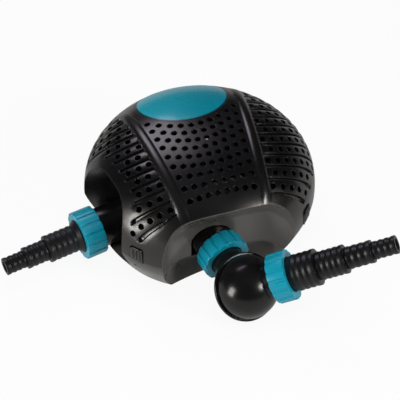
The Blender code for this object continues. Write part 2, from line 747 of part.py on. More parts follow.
for lobe, hinge in lobe_frames.items():
    latch = prism("latch_" + lobe, latch_outline(), -LATCH_WIDTH / 2, LATCH_WIDTH / 2, "black", hinge)
    combine(latch, boxes("grip_" + lobe, grip_spans, None, hinge), 'UNION')
    side = LATCH_WIDTH / 2 + LATCH_GAP
    pocket = boxes("pocket_" + lobe, [((-WALL * 4, LATCH_LOW_Z - LATCH_GAP - LATCH_PIVOT_Z, -side),
                                       (WALL * 6, LATCH_LOW_Z + LATCH_TALL + LATCH_GAP - LATCH_PIVOT_Z, side))],
                   None, hinge)
    combine(upper_cage, pocket)

# Nameplate, bent to the crown

nameplate = rod("nameplate", 1.0, WIDEST_Z, BODY_HEIGHT * 1.2, "plate", None, DOME_STEPS)
nameplate.location = (0.0, PLATE_Y, 0.0)
nameplate.scale = (PLATE_HALF_X, PLATE_HALF_Y, 1.0)
combine(nameplate, body_solid("plate_skin", -PLATE_PROUD, 0.0), 'INTERSECT')
combine(nameplate, body_solid("plate_back", PLATE_THICK, 0.0))

# Pump chamber

outlet = union_places(OUTLET_NUT, ELBOW_NUT_LENGTH)
inlet = union_places(INLET_NUT, INLET_NUT_LENGTH)
tail_union = union_places(TAIL_NUT_START, ELBOW_NUT_LENGTH)

volute = rod("volute", CASE_R, CHAMBER_FRONT, CHAMBER_BACK, "resin", rotor_frame, CASE_STEPS)
neck_root = CASE_R - ROTOR_V + MM
combine(volute, turned("outlet_neck", [(0.0, outlet["neck_end"]), (NECK_R, outlet["neck_end"]),
                                       (NECK_R, neck_root + 2 * (NECK_R - NECK_ROOT_R)),
                                       (NECK_ROOT_R, neck_root), (NECK_ROOT_R, 0.0), (0.0, 0.0)],
                       None, outlet_frame), 'UNION')
combine(volute, rod("chamber", CHAMBER_R, CHAMBER_FRONT * 1.5, -CHAMBER_FRONT, None, rotor_frame, CASE_STEPS))
combine(volute, rod("outlet_bore", NECK_BORE, -ROTOR_V, BALL_AT, None, outlet_frame))

SCREW_TURNS = [math.pi / 4 + math.pi / 2 * i for i in range(4)]
screw_frames = []
for i, turn in enumerate(SCREW_TURNS):
    across = UP * math.cos(turn) + V * math.sin(turn)
    screw_frames.append(axis_frame("screw_axis_%d" % (i + 1), ROTOR_POINT + across * SCREW_RING, U, UP))
for i, frame in enumerate(screw_frames):
    tip = COVER_FRONT - SEAT_GAP + SCREW_LENGTH
    turned("cover_screw_%d" % (i + 1),
           [(0.0, tip), (SCREW_R, tip), (SCREW_R, COVER_FRONT - SEAT_GAP), (SCREW_HEAD_R, COVER_FRONT - SEAT_GAP),
            (SCREW_HEAD_R, COVER_FRONT - SEAT_GAP - SCREW_HEAD), (0.0, COVER_FRONT - SEAT_GAP - SCREW_HEAD)],
           "steel", frame, SMALL_STEPS)
    way = rod("screw_way_%d" % (i + 1), SCREW_R + SEAT_GAP, COVER_FRONT - COVER_THICK, tip + SEAT_GAP, None, frame,
              SMALL_STEPS)
    combine(volute, way)

ring("chamber_gasket", CHAMBER_R + SEAT_GAP, CASE_R - SEAT_GAP, FLANGE_FACE - SEAT_GAP - GASKET,
     FLANGE_FACE - SEAT_GAP, "rubber", rotor_frame)
ring("cover_gasket", CHAMBER_R - MM, SCREW_RING - SCREW_R - 2 * SEAT_GAP, COVER_FACE + SEAT_GAP,
     COVER_FACE + SEAT_GAP + GASKET, "rubber", rotor_frame)

suction_cover = turned("suction_cover", [(CASE_R, COVER_FACE), (CASE_R, COVER_FRONT), (NECK_R, COVER_FRONT),
                                         (NECK_R, -inlet["neck_end"]), (NECK_BORE, -inlet["neck_end"]),
                                         (NECK_BORE, COVER_FACE)], "gloss", rotor_frame, CASE_STEPS)
spider = boxes("spider", [((-NECK_BORE - MM, -SPIDER_BAR / 2, COVER_FRONT),
                           (NECK_BORE + MM, SPIDER_BAR / 2, COVER_FACE))], None, rotor_frame)
combine(spider, rod("spider_hub", SPIDER_HUB, COVER_FRONT - MM, COVER_FACE - SEAT_GAP, None, rotor_frame,
                    SMALL_STEPS), 'UNION')
combine(suction_cover, spider, 'UNION')
combine(suction_cover, rod("shaft_socket", SHAFT_R + SHAFT_FIT, COVER_FRONT + COVER_THICK / 3, COVER_FACE + MM,
                           None, rotor_frame))
for i in range(4):
    combine(suction_cover, bpy.data.objects["screw_way_%d" % (i + 1)])

# Motor

turned("rotor_well", [(0.0, WELL_END), (WELL_OUTER, WELL_END), (WELL_OUTER, WELL_FLANGE), (CASE_R, WELL_FLANGE),
                      (CASE_R, FLANGE_FACE), (WELL_BORE, FLANGE_FACE), (WELL_BORE, WELL_DEPTH),
                      (SHAFT_R + SHAFT_FIT, WELL_DEPTH), (SHAFT_R + SHAFT_FIT, WELL_END - WELL_WALL),
                      (0.0, WELL_END - WELL_WALL)], "resin", rotor_frame)
ring("motor_can", CASE_R - CAN_WALL, CASE_R, CAN_START, CAN_END, "resin", rotor_frame, CASE_STEPS)
ring("motor_end_cap", GLAND_R - GLAND_SHOULDER, CASE_R, CAP_START, CAP_END, "resin", rotor_frame)
ring("stator_core", WELL_OUTER + SEAT_GAP, CASE_R - CAN_WALL - SEAT_GAP, STATOR_START, STATOR_END, "steel",
     rotor_frame)
for name, start in (("coil_front", COIL_START), ("coil_rear", STATOR_END + SEAT_GAP)):
    ring(name, WELL_OUTER + SEAT_GAP, CASE_R - CAN_WALL - 4 * SEAT_GAP, start, start + COIL_LENGTH, "copper",
         rotor_frame)
rod("shaft", SHAFT_R, COVER_FRONT + COVER_THICK / 3 + SEAT_GAP, WELL_END - WELL_WALL - SEAT_GAP, "ceramic",
    rotor_frame)

gland_stem = GLAND_R - GLAND_SHOULDER - SEAT_GAP
turned("cable_gland", [(0.0, CAP_START + MM), (GLAND_BORE, CAP_START + MM), (GLAND_BORE, CAP_END + GLAND_LENGTH),
                       (GLAND_NOSE_R, CAP_END + GLAND_LENGTH), (GLAND_NOSE_R, CAP_END + GLAND_LENGTH / 3),
                       (GLAND_R, CAP_END + GLAND_LENGTH / 3), (GLAND_R, CAP_END + SEAT_GAP),
                       (gland_stem, CAP_END + SEAT_GAP), (gland_stem, CAP_START), (0.0, CAP_START)],
       "rubber", rotor_frame, SMALL_STEPS)

can_seat = rod("can_seat", CASE_R + SEAT_GAP, -CAN_END, CAN_END * 2, None, rotor_frame, CASE_STEPS)
for name, start in (("motor_foot_front", CAN_START + FOOT_LENGTH / 2), ("motor_foot_rear", CAN_END - FOOT_LENGTH * 1.5)):
    low = FLOOR + SEAT_GAP - AXIS_Z
    foot = boxes(name, [((low, -FOOT_HALF_WIDTH, start), (low + FOOT_RISE, FOOT_HALF_WIDTH, start + FOOT_LENGTH))],
                 "rubber", rotor_frame)
    combine(foot, can_seat)

# Rotor: magnet and impeller turn on two bushes round the fixed shaft

impeller = turned("impeller", [(HUB_R, HUB_END), (HUB_R, DISC_BACK), (IMPELLER_R, DISC_BACK),
                               (IMPELLER_R, DISC_BACK - DISC_THICK), (HUB_R, DISC_BACK - DISC_THICK),
                               (HUB_R, VANE_FRONT), (ROTOR_BORE, VANE_FRONT), (ROTOR_BORE, HUB_END)],
                  "resin", rotor_frame)
vane_mesh = bpy.data.meshes.new("vanes")
vane_shape = bmesh.new()
for i in range(VANES):
    reach = IMPELLER_R - MM - (HUB_R - MM)
    size = Matrix.Diagonal((reach, VANE_THICK, DISC_BACK - DISC_THICK / 2 - VANE_FRONT - MM, 1.0))
    middle = Vector((HUB_R - MM + reach / 2, 0.0, (DISC_BACK - DISC_THICK / 2 + VANE_FRONT + MM) / 2))
    bmesh.ops.create_cube(vane_shape, size=1.0, matrix=Matrix.Rotation(2 * math.pi * i / VANES, 4, 'Z')
                          @ Matrix.Translation(middle) @ size)
vane_shape.to_mesh(vane_mesh)
vane_shape.free()
combine(impeller, place("vanes", vane_mesh, None, rotor_frame), 'UNION')
MAGNET_START = HUB_END + SEAT_GAP
MAGNET_END = WELL_DEPTH - 2 * SEAT_GAP
ring("rotor_magnet", ROTOR_BORE, MAGNET_R, MAGNET_START, MAGNET_END, "magnet", rotor_frame)
for name, start in (("front_bush", DISC_BACK - DISC_THICK - BUSH_LENGTH), ("rear_bush", MAGNET_END - BUSH_LENGTH)):
    ring(name, SHAFT_R + SHAFT_FIT, BUSH_R, start, start + BUSH_LENGTH, "ceramic", rotor_frame)


# Unions and hose tails

def nut(name, frame, start, length):
    rim = []
    for i in range(NUT_FLUTES):
        for share, drop in ((-0.38, 0.0), (0.38, 0.0), (0.5, FLUTE_DEPTH)):
            bearing = 2 * math.pi * (i + share) / NUT_FLUTES
            rim.append(((NUT_R - drop) * math.cos(bearing), (NUT_R - drop) * math.sin(bearing)))
    piece = prism(name, rim, start, start + length, "teal", frame)
    lip = start + length - NUT_LIP
    combine(piece, turned(name + "_bore", [(0.0, start + length * 2), (COLLAR_R + COLLAR_GAP, start + length * 2),
                                           (COLLAR_R + COLLAR_GAP, lip), (NECK_R + THREAD_GAP, lip),
                                           (NECK_R + THREAD_GAP, start - length), (0.0, start - length)],
                          None, frame, CASE_STEPS))
    return piece


def seal(name, frame, places):
    ring(name, NECK_BORE, NECK_R - SEAT_GAP, places["seal"][0], places["seal"][1], "rubber", frame)


def tail(name, frame, places, collar, radii, lengths):
    flange_back, flange_front = places["flange"]
    outside = [(NECK_R, flange_back), (NECK_R, flange_front), (COLLAR_R, flange_front), (COLLAR_R, places["front"] + MM)]
    bore = [(NECK_BORE, flange_back)]
    low = places["front"] + collar
    narrow = places["front"]
    for radius, length in zip(radii, lengths):
        for j in range(RIBS_PER_STEP):
            at = low + j * length / RIBS_PER_STEP
            outside += [(radius - RIB_HEIGHT, at), (radius, at + RIB_RISE)]
        low += length
        outside.append((radius, low))
        inside = min(radius - RIB_HEIGHT - TAIL_WALL, NECK_BORE)
        bore += [(inside, narrow), (inside, low - 2 * BORE_LEAD)]
        narrow = low - BORE_LEAD
    bore[-1] = (bore[-1][0], low)
    turned(name, outside + bore[::-1], "gloss", frame)


nut("inlet_nut", inlet_frame, INLET_NUT, INLET_NUT_LENGTH)
seal("inlet_seal", inlet_frame, inlet)
tail("inlet_tail", inlet_frame, inlet, INLET_COLLAR, INLET_STEP_RADII, INLET_STEP_LENGTHS)
nut("outlet_nut", outlet_frame, OUTLET_NUT, ELBOW_NUT_LENGTH)
seal("outlet_seal", outlet_frame, outlet)

# Ball elbow: two half shells that meet at the seam


def ball(name, radius, finish):
    mesh = bpy.data.meshes.new(name)
    shape = bmesh.new()
    bmesh.ops.create_uvsphere(shape, u_segments=BALL_STEPS, v_segments=BALL_RINGS, radius=radius)
    for face in shape.faces:
        face.smooth = True
    shape.to_mesh(mesh)
    shape.free()
    return place(name, mesh, finish, seam_frame)


BALL_REACH = RIM_R * 2
ball_hollow = ball("ball_hollow", BALL_R - BALL_WALL, None)
above_seam = boxes("above_seam", [((-BALL_REACH, -BALL_REACH, -SEAM_GAP / 2),
                                   (BALL_REACH, BALL_REACH, BALL_REACH))], None, seam_frame)
below_seam = boxes("below_seam", [((-BALL_REACH, -BALL_REACH, -BALL_REACH),
                                   (BALL_REACH, BALL_REACH, SEAM_GAP / 2))], None, seam_frame)

elbow_rear = ball("elbow_rear", BALL_R, "gloss")
combine(elbow_rear, rod("seam_rim", RIM_R, -RIM_THICK, SEAM_GAP, None, seam_frame, CASE_STEPS), 'UNION')
combine(elbow_rear, turned("rear_collar", [(0.0, BALL_AT - BALL_R / 3), (COLLAR_R, BALL_AT - BALL_R / 3),
                                           (COLLAR_R, outlet["flange"][1]), (NECK_R, outlet["flange"][1]),
                                           (NECK_R, outlet["flange"][0]), (0.0, outlet["flange"][0])],
                           None, outlet_frame), 'UNION')
combine(elbow_rear, above_seam)
combine(elbow_rear, ball_hollow)
combine(elbow_rear, rod("rear_bore", NECK_BORE, 0.0, BALL_AT, None, outlet_frame))

elbow_front = ball("elbow_front", BALL_R, "gloss")
combine(elbow_front, rod("front_neck", NECK_R, BALL_R / 3, tail_union["neck_end"], None, tail_frame), 'UNION')
combine(elbow_front, below_seam)
combine(elbow_front, ball_hollow)
combine(elbow_front, rod("front_bore", NECK_BORE, 0.0, BALL_R * 3, None, tail_frame))

seam_inside = math.sqrt((BALL_R - BALL_WALL) ** 2 - (SEAM_SEAL / 2) ** 2) * math.cos(math.pi / BALL_STEPS) - SEAT_GAP
ring("swivel_seal", seam_inside - SEAM_SEAL_WALL, seam_inside, -SEAM_SEAL / 2, SEAM_SEAL / 2, "rubber", seam_frame,
     BALL_STEPS)

nut("tail_nut", tail_frame, TAIL_NUT_START, ELBOW_NUT_LENGTH)
seal("tail_seal", tail_frame, tail_union)
tail("outlet_tail", tail_frame, tail_union, OUTLET_COLLAR, OUTLET_STEP_RADII, OUTLET_STEP_LENGTHS)

bpy.context.view_layer.update()
for shown in parts.objects:
    if shown.type == 'MESH':
        shown.data.set_sharp_from_angle(angle=math.radians(35))
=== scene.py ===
import json
import math

import bmesh
import bpy
import numpy as np
from mathutils import Matrix, Vector


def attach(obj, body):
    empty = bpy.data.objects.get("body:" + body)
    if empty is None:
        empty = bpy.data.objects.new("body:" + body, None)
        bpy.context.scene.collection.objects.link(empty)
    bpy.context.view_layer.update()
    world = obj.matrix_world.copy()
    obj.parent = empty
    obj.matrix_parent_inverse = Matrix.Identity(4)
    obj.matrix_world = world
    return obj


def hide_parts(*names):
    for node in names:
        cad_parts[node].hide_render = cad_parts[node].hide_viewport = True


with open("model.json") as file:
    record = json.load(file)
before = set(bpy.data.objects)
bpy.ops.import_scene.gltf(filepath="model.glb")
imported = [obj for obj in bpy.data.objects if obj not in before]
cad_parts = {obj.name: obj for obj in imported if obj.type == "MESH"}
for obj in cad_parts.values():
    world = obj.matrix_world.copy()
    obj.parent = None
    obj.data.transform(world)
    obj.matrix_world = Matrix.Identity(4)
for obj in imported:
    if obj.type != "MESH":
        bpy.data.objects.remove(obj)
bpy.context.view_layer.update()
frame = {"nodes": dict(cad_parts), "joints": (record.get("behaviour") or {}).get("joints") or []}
joints = {joint["name"]: joint for joint in frame["joints"]}
mm = 0.001
up = Vector((0, 0, 1))
print("frame loaded:", len(frame["nodes"]), "nodes")


# frames along the joint axes: z along the axis, x as near to straight up as it goes

def axisFrame(jointName):
    joint = joints[jointName]
    along = Vector(joint["axis"]).normalized()
    across = along.cross(up).normalized()
    turn = Matrix((across.cross(along), across, along)).transposed()
    return Matrix.Translation(Vector(joint["pos_m"])) @ turn.to_4x4()


rotorAxis = axisFrame("rotor_spin")
inletAxis = axisFrame("inlet_nut_turn")
outletAxis = axisFrame("outlet_nut_turn")
seamAxis = axisFrame("elbow_swivel")
tailAxis = axisFrame("outlet_tail_turn")
ballOut = (seamAxis.translation - outletAxis.translation).length


# small modelling helpers

def newPiece(name, shape):
    mesh = bpy.data.meshes.new(name)
    shape.to_mesh(mesh)
    shape.free()
    piece = bpy.data.objects.new(name, mesh)
    bpy.context.scene.collection.objects.link(piece)
    return piece


def spun(outline, steps, place=Matrix.Identity(4)):
    # closed loop of (radius, height) points turned round z; points on the axis become poles
    shape = bmesh.new()
    points = [shape.verts.new((radius, 0, height)) for radius, height in outline]
    edges = [shape.edges.new((a, b)) for a, b in zip(points, points[1:] + points[:1])]
    bmesh.ops.spin(shape, geom=points + edges, axis=(0, 0, 1), cent=(0, 0, 0), dvec=(0, 0, 0),
                   angle=2 * math.pi, steps=steps, use_merge=True, use_duplicate=False)
    bmesh.ops.remove_doubles(shape, verts=shape.verts, dist=0.000002)
    bmesh.ops.dissolve_degenerate(shape, dist=0.000001, edges=shape.edges)
    bmesh.ops.recalc_face_normals(shape, faces=shape.faces)
    shape.transform(place)
    return shape


def rounded(outline, radius, sharp=(), steps=3):
    # the loop with each corner swapped for an arc, apart from the corners listed in sharp
    made = []
    count = len(outline)
    for i, corner in enumerate(outline):
        here = Vector(corner)
        before, after = Vector(outline[i - 1]), Vector(outline[(i + 1) % count])
        reach = min(radius, (before - here).length * 0.45, (after - here).length * 0.45)
        if i in sharp or here.x < 0.00001 or reach < 0.00002:
            made.append(tuple(here))
            continue
        start = here + (before - here).normalized() * reach
        end = here + (after - here).normalized() * reach
        for j in range(steps + 1):
            share = j / steps
            made.append(tuple(start * (1 - share) ** 2 + here * 2 * share * (1 - share) + end * share ** 2))
    return made


def block(low, high, place=Matrix.Identity(4), bevel=0.0):
    shape = bmesh.new()
    low, high = Vector(low), Vector(high)
    bmesh.ops.create_cube(shape, size=1, matrix=Matrix.Translation((low + high) / 2)
                          @ Matrix.Diagonal((*(high - low), 1)))
    if bevel:
        bmesh.ops.bevel(shape, geom=list(shape.edges), offset=bevel, segments=2, profile=0.5,
                        affect='EDGES', material=-1)
    shape.transform(place)
    return shape


def rodShape(radius, low, high, steps, place=Matrix.Identity(4)):
    return spun([(0, low), (radius, low), (radius, high), (0, high)], steps, place)


def carve(piece, shape, operation='DIFFERENCE'):
    cutter = newPiece("cutter", shape)
    step = piece.modifiers.new("carve", 'BOOLEAN')
    step.object = cutter
    step.operation = operation
    step.solver = 'MANIFOLD'
    settle(piece)
    bpy.data.objects.remove(cutter)
    return piece


def settle(piece):
    # the modifiers' result becomes the piece's own mesh
    bpy.context.view_layer.update()
    graph = bpy.context.evaluated_depsgraph_get()
    mesh = bpy.data.meshes.new_from_object(piece.evaluated_get(graph))
    piece.modifiers.clear()
    old = piece.data
    piece.data = mesh
    bpy.data.meshes.remove(old)
    return piece


def dress(piece, body, node, material, angle=35):
    piece.data.materials.clear()
    piece.data.materials.append(material)
    piece.data.shade_smooth()
    piece.data.set_sharp_from_angle(angle=math.radians(angle))
    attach(piece, body)
    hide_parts(node)
    print("piece:", piece.name, len(piece.data.polygons), "faces")
    return piece


# shader maths on sockets

class Wire:
    def __init__(self, tree, socket):
        self.tree = tree
        self.socket = socket

    @staticmethod
    def node(tree, kind, settings, inputs, output=0):
        made = tree.nodes.new(kind)
        for name, value in settings.items():
            setattr(made, name, value)
        for name, value in inputs.items():
            if isinstance(value, Wire):
                tree.links.new(value.socket, made.inputs[name])
            else:
                made.inputs[name].default_value = value
        return Wire(tree, made.outputs[output])

    def math(self, operation, first, second):
        return Wire.node(self.tree, "ShaderNodeMath", {"operation": operation}, {0: first, 1: second})

    def __add__(self, other):
        return self.math('ADD', self, other)

    def __radd__(self, other):
        return self.math('ADD', other, self)

    def __sub__(self, other):
        return self.math('SUBTRACT', self, other)

    def __rsub__(self, other):
        return self.math('SUBTRACT', other, self)

    def __mul__(self, other):
        return self.math('MULTIPLY', self, other)

    def __rmul__(self, other):
        return self.math('MULTIPLY', other, self)

    def __truediv__(self, other):
        return self.math('DIVIDE', self, other)

    def __pow__(self, other):
        return self.math('POWER', self, other)

    def __abs__(self):
        return self.math('ABSOLUTE', self, 0)

    def atLeast(self, other):
        return self.math('MAXIMUM', self, other)

    def ramp(self, low, high):
        # 0 below low, 1 above high, smooth between
        return Wire.node(self.tree, "ShaderNodeMapRange", {"interpolation_type": 'SMOOTHSTEP'},
                         {"Value": self, "From Min": low, "From Max": high})

    def tint(self, first, second):
        return Wire.node(self.tree, "ShaderNodeMix", {"data_type": 'RGBA'},
                         {0: self, 6: first, 7: second}, 2)


white = (1, 1, 1, 1)
warm = (1.0, 0.95, 0.9, 1)


def opened(name, roughness, specular=0.5, metallic=0.0, coat=0.0, tint=white):
    made = bpy.data.materials.new(name)
    made.use_nodes = True
    shader = made.node_tree.nodes["Principled BSDF"]
    shader.inputs["Roughness"].default_value = roughness
    shader.inputs["Specular IOR Level"].default_value = specular
    shader.inputs["Metallic"].default_value = metallic
    shader.inputs["Coat Weight"].default_value = coat
    shader.inputs["Specular Tint"].default_value = tint
    return made, made.node_tree, shader


def objectSpace(tree):
    return Wire.node(tree, "ShaderNodeTexCoord", {}, {}, "Object")


def axesOf(tree, where):
    split = Wire.node(tree, "ShaderNodeSeparateXYZ", {}, {"Vector": where})
    return [Wire(tree, socket) for socket in split.socket.node.outputs]


def grain(tree, where, scale, detail=2.0, rough=0.5):
    inputs = {"Vector": where, "Scale": scale, "Detail": detail, "Roughness": rough}
    return Wire.node(tree, "ShaderNodeTexNoise", {}, inputs)


def bump(tree, height, strength, distance, base=None):
    inputs = {"Height": height, "Strength": strength, "Distance": distance}
    if base is not None:
        inputs["Normal"] = base
    return Wire.node(tree, "ShaderNodeBump", {}, inputs)


def feed(tree, shader, name, wire):
    tree.links.new(wire.socket, shader.inputs[name])


moulded = dict(cloudScale=14, speckScale=260, speckFrom=0.62, speckTo=0.74, edge=0.9 * mm, edgeSamples=6)


def mouldedPlastic(name, dark, light, roughness, grainScale, grainDepth, specular=0.5, coat=0.0,
                   tint=white):
    # injection-moulded plastic: faint clouding in the colour, spark-eroded grain, polish that varies
    made, tree, shader = opened(name, roughness, specular, 0.0, coat, tint)
    where = objectSpace(tree)
    cloud = grain(tree, where, moulded["cloudScale"], 4).ramp(0.3, 0.7)
    fine = grain(tree, where, grainScale, 2)
    speck = grain(tree, where, moulded["speckScale"], 3, 0.7).ramp(moulded["speckFrom"], moulded["speckTo"])
    feed(tree, shader, "Base Color", (cloud * 0.7 + speck * 0.3).tint(dark, light))
    feed(tree, shader, "Roughness", roughness - 0.06 + cloud * 0.1 + speck * 0.05)
    edge = Wire.node(tree, "ShaderNodeBevel", {"samples": moulded["edgeSamples"]},
                     {"Radius": moulded["edge"]})
    feed(tree, shader, "Normal", bump(tree, fine, 0.35, grainDepth, edge))
    return made


cagePlastic = mouldedPlastic("cagePlastic", (0.0035, 0.0035, 0.004, 1), (0.0065, 0.0065, 0.007, 1),
                             0.29, 900, 0.12 * mm, specular=0.8, tint=warm)
glossPlastic = mouldedPlastic("glossPlastic", (0.004, 0.004, 0.0045, 1), (0.007, 0.007, 0.0075, 1),
                              0.22, 300, 0.04 * mm, specular=0.45, tint=warm)
tailPlastic = mouldedPlastic("tailPlastic", (0.005, 0.005, 0.0055, 1), (0.009, 0.009, 0.0095, 1),
                             0.4, 400, 0.08 * mm, specular=0.4)
resinPlastic = mouldedPlastic("resinPlastic", (0.035, 0.035, 0.04, 1), (0.06, 0.06, 0.065, 1),
                              0.45, 600, 0.15 * mm)
rubber = mouldedPlastic("softRubber", (0.012, 0.012, 0.012, 1), (0.03, 0.03, 0.03, 1),
                        0.75, 500, 0.2 * mm, specular=0.3)
ceramic = mouldedPlastic("polishedCeramic", (0.78, 0.77, 0.73, 1), (0.86, 0.85, 0.81, 1),
                         0.22, 700, 0.03 * mm)
ferrite = mouldedPlastic("darkFerrite", (0.045, 0.045, 0.05, 1), (0.08, 0.08, 0.085, 1),
                         0.5, 800, 0.2 * mm)
tealPlastic = mouldedPlastic("tealPlastic", (0.003, 0.27, 0.375, 1), (0.0055, 0.33, 0.45, 1),
                             0.27, 500, 0.05 * mm, specular=0.35, coat=0.05)


def plainMetal(name, dark, light, roughness, stretch):
    # drawn or laminated metal: fine lines across the axis given by stretch
    made, tree, shader = opened(name, roughness, 0.5, 1.0)
    where = Wire.node(tree, "ShaderNodeMapping", {}, {"Vector": objectSpace(tree), "Scale": stretch})
    lines = grain(tree, where, 420, 3)
    feed(tree, shader, "Base Color", lines.tint(dark, light))
    feed(tree, shader, "Roughness", roughness - 0.08 + lines * 0.16)
    feed(tree, shader, "Normal", bump(tree, lines, 0.3, 0.1 * mm))
    return made


screwSteel = plainMetal("screwSteel", (0.45, 0.45, 0.46, 1), (0.62, 0.62, 0.63, 1), 0.3, (1, 1, 1))
coreSteel = plainMetal("coreSteel", (0.3, 0.3, 0.31, 1), (0.5, 0.5, 0.51, 1), 0.4, (6, 1, 1))
copperWire = plainMetal("copperWire", (0.45, 0.18, 0.08, 1), (0.66, 0.31, 0.16, 1), 0.32, (5, 1, 1))
print("materials ready")

# the body: an upright dome on an oval plan, drawn in towards its foot

body = dict(halfX=140 * mm, halfY=135 * mm, height=151 * mm, widestZ=59 * mm, power=2.43,
            footShare=115 / 140, footPower=1.25, wall=3 * mm, floor=3 * mm, crownWall=6.9 * mm,
            crownFade=(80 * mm, 90 * mm), seamZ=20.3 * mm, trayTop=20 * mm, trayFront=80 * mm,
            trayBow=11 * mm, bowRun=60 * mm, bowPower=1.5)
crownRise = body["height"] - body["widestZ"]
footPull = 1 - body["footShare"]

niches = dict(
    spring=70 * mm,
    front=dict(turn=0.0, middle=2 * mm, wall=72 * mm, half=81 * mm, sideRise=37 * mm, sidePower=6,
               top=124.5 * mm, topRise=35 * mm, topPower=1.3),
    left=dict(turn=math.atan2(inletAxis[1][2], inletAxis[0][2]) + math.pi / 2, middle=-6 * mm, wall=74 * mm,
              half=53 * mm, sideRise=57 * mm, sidePower=3, top=124.5 * mm, topRise=43 * mm, topPower=2),
)
scoops = dict(columns=80, rows=60, widen=1.2, middleZ=60 * mm, halfTall=82 * mm)


def crownZ(x, y):
    share = np.clip(np.hypot(x / body["halfX"], y / body["halfY"]), 0, 1)
    return body["widestZ"] + crownRise * (1 - share ** body["power"]) ** (1 / body["power"])


def footRatio(z):
    drop = (body["widestZ"] - z) / body["widestZ"]
    return 1 - footPull * drop ** body["footPower"]


def bodyNormal(points):
    x, y, z = points.T
    share = np.maximum(np.hypot(x / body["halfX"], y / body["halfY"]), 1e-6)
    lift = np.maximum(z - body["widestZ"], 0) / crownRise
    drop = np.maximum(body["widestZ"] - z, 0) / body["widestZ"]
    pull = np.where(z > body["widestZ"], share ** (body["power"] - 2), 1 / share)
    fall = footPull * body["footPower"] * drop ** (body["footPower"] - 1) / body["widestZ"]
    rise = lift ** (body["power"] - 1) / crownRise - fall
    normal = np.stack([x / body["halfX"] ** 2 * pull, y / body["halfY"] ** 2 * pull, rise], 1)
    return normal / np.linalg.norm(normal, axis=1)[:, None]


def nicheRoom(niche, points, grow=0.0):
    # how far a point lies outside the niche's wall, along the niche; grow moves the wall inwards
    x, y, z = points.T
    depth = x * math.sin(niche["turn"]) - y * math.cos(niche["turn"])
    side = x * math.cos(niche["turn"]) + y * math.sin(niche["turn"])
    climb = np.maximum(z - niches["spring"], 0) / (niche["top"] + grow - niches["spring"])
    spread = np.abs(side - niche["middle"]) / (niche["half"] + grow)
    return (depth - niche["wall"] + grow - niche["sideRise"] * spread ** niche["sidePower"]
            - niche["topRise"] * climb ** niche["topPower"])


def nicheMargin(points, most=16 * mm):
    # how much both niches could grow before they reach a point
    steps = np.linspace(0, most, 17)
    margin = np.full(len(points), most)
    for name in ("front", "left"):
        rooms = np.stack([nicheRoom(niches[name], points, grow) for grow in steps])
        reached = rooms > 0
        first = np.maximum(reached.argmax(0), 1)
        column = np.arange(len(points))
        low, high = rooms[first - 1, column], rooms[first, column]
        found = steps[first - 1] + steps[1] * np.clip(-low / (high - low + 1e-12), 0, 1)
        margin = np.minimum(margin, np.where(reached.any(0), found, most))
    return margin


def pullIn(points, grow):
    # points in a niche go straight back onto its wall
    for name in ("front", "left"):
        turn = niches[name]["turn"]
        room = np.maximum(nicheRoom(niches[name], points, grow), 0)
        points = points - room[:, None] * np.array([math.sin(turn), -math.cos(turn), 0])
    return points


def smooth(value, low, high):
    share = np.clip((value - low) / (high - low), 0, 1)
    return share * share * (3 - 2 * share)


bands = dict(middleX=61.5 * mm, width=11 * mm, taper=0.125, raised=1.9 * mm, arch=0.7, ramp=0.4 * mm,
             lowZ=116 * mm, highZ=132 * mm)
courses = dict(firstY=36 * mm, pitch=15.2 * mm, back=3, forward=8, lowZ=88 * mm, grooveDepth=3.6 * mm,
               grooveFloor=1.3 * mm, grooveHalf=2.1 * mm, crown=1.1 * mm, edge=9 * mm, edgeFade=2 * mm,
               lowFade=3 * mm, bandFade=(0.5 * mm, 1.2 * mm), lastShare=0.66,
               sweep=math.radians(5.5), sweepRun=58 * mm, sweepMost=1.25)
courseRows = [courses["firstY"] - courses["pitch"] * i
              for i in range(-courses["back"], courses["forward"] + 1)]
slices = dict(samples=400, sideCount=60, rampCount=1, bandCount=8, middleCount=20, underCount=60,
              backCount=14, frontCount=35, lastShare=0.9992)


def bandEdge(y, side):
    return bands["middleX"] + side * bands["width"] / 2 + bands["taper"] * y


def swept(points):
    # the courses bend back on their way out from the bands: a turn on the oval plan, so heights stay
    x, y, z = points.T
    out = np.maximum(np.abs(x) - bandEdge(y, 1), 0) / courses["sweepRun"]
    turn = np.sign(x) * courses["sweep"] * np.minimum(out, courses["sweepMost"]) ** 2
    u, v = x / body["halfX"], y / body["halfY"]
    return np.stack([(u * np.cos(turn) - v * np.sin(turn)) * body["halfX"],
                     (u * np.sin(turn) + v * np.cos(turn)) * body["halfY"], z], 1)


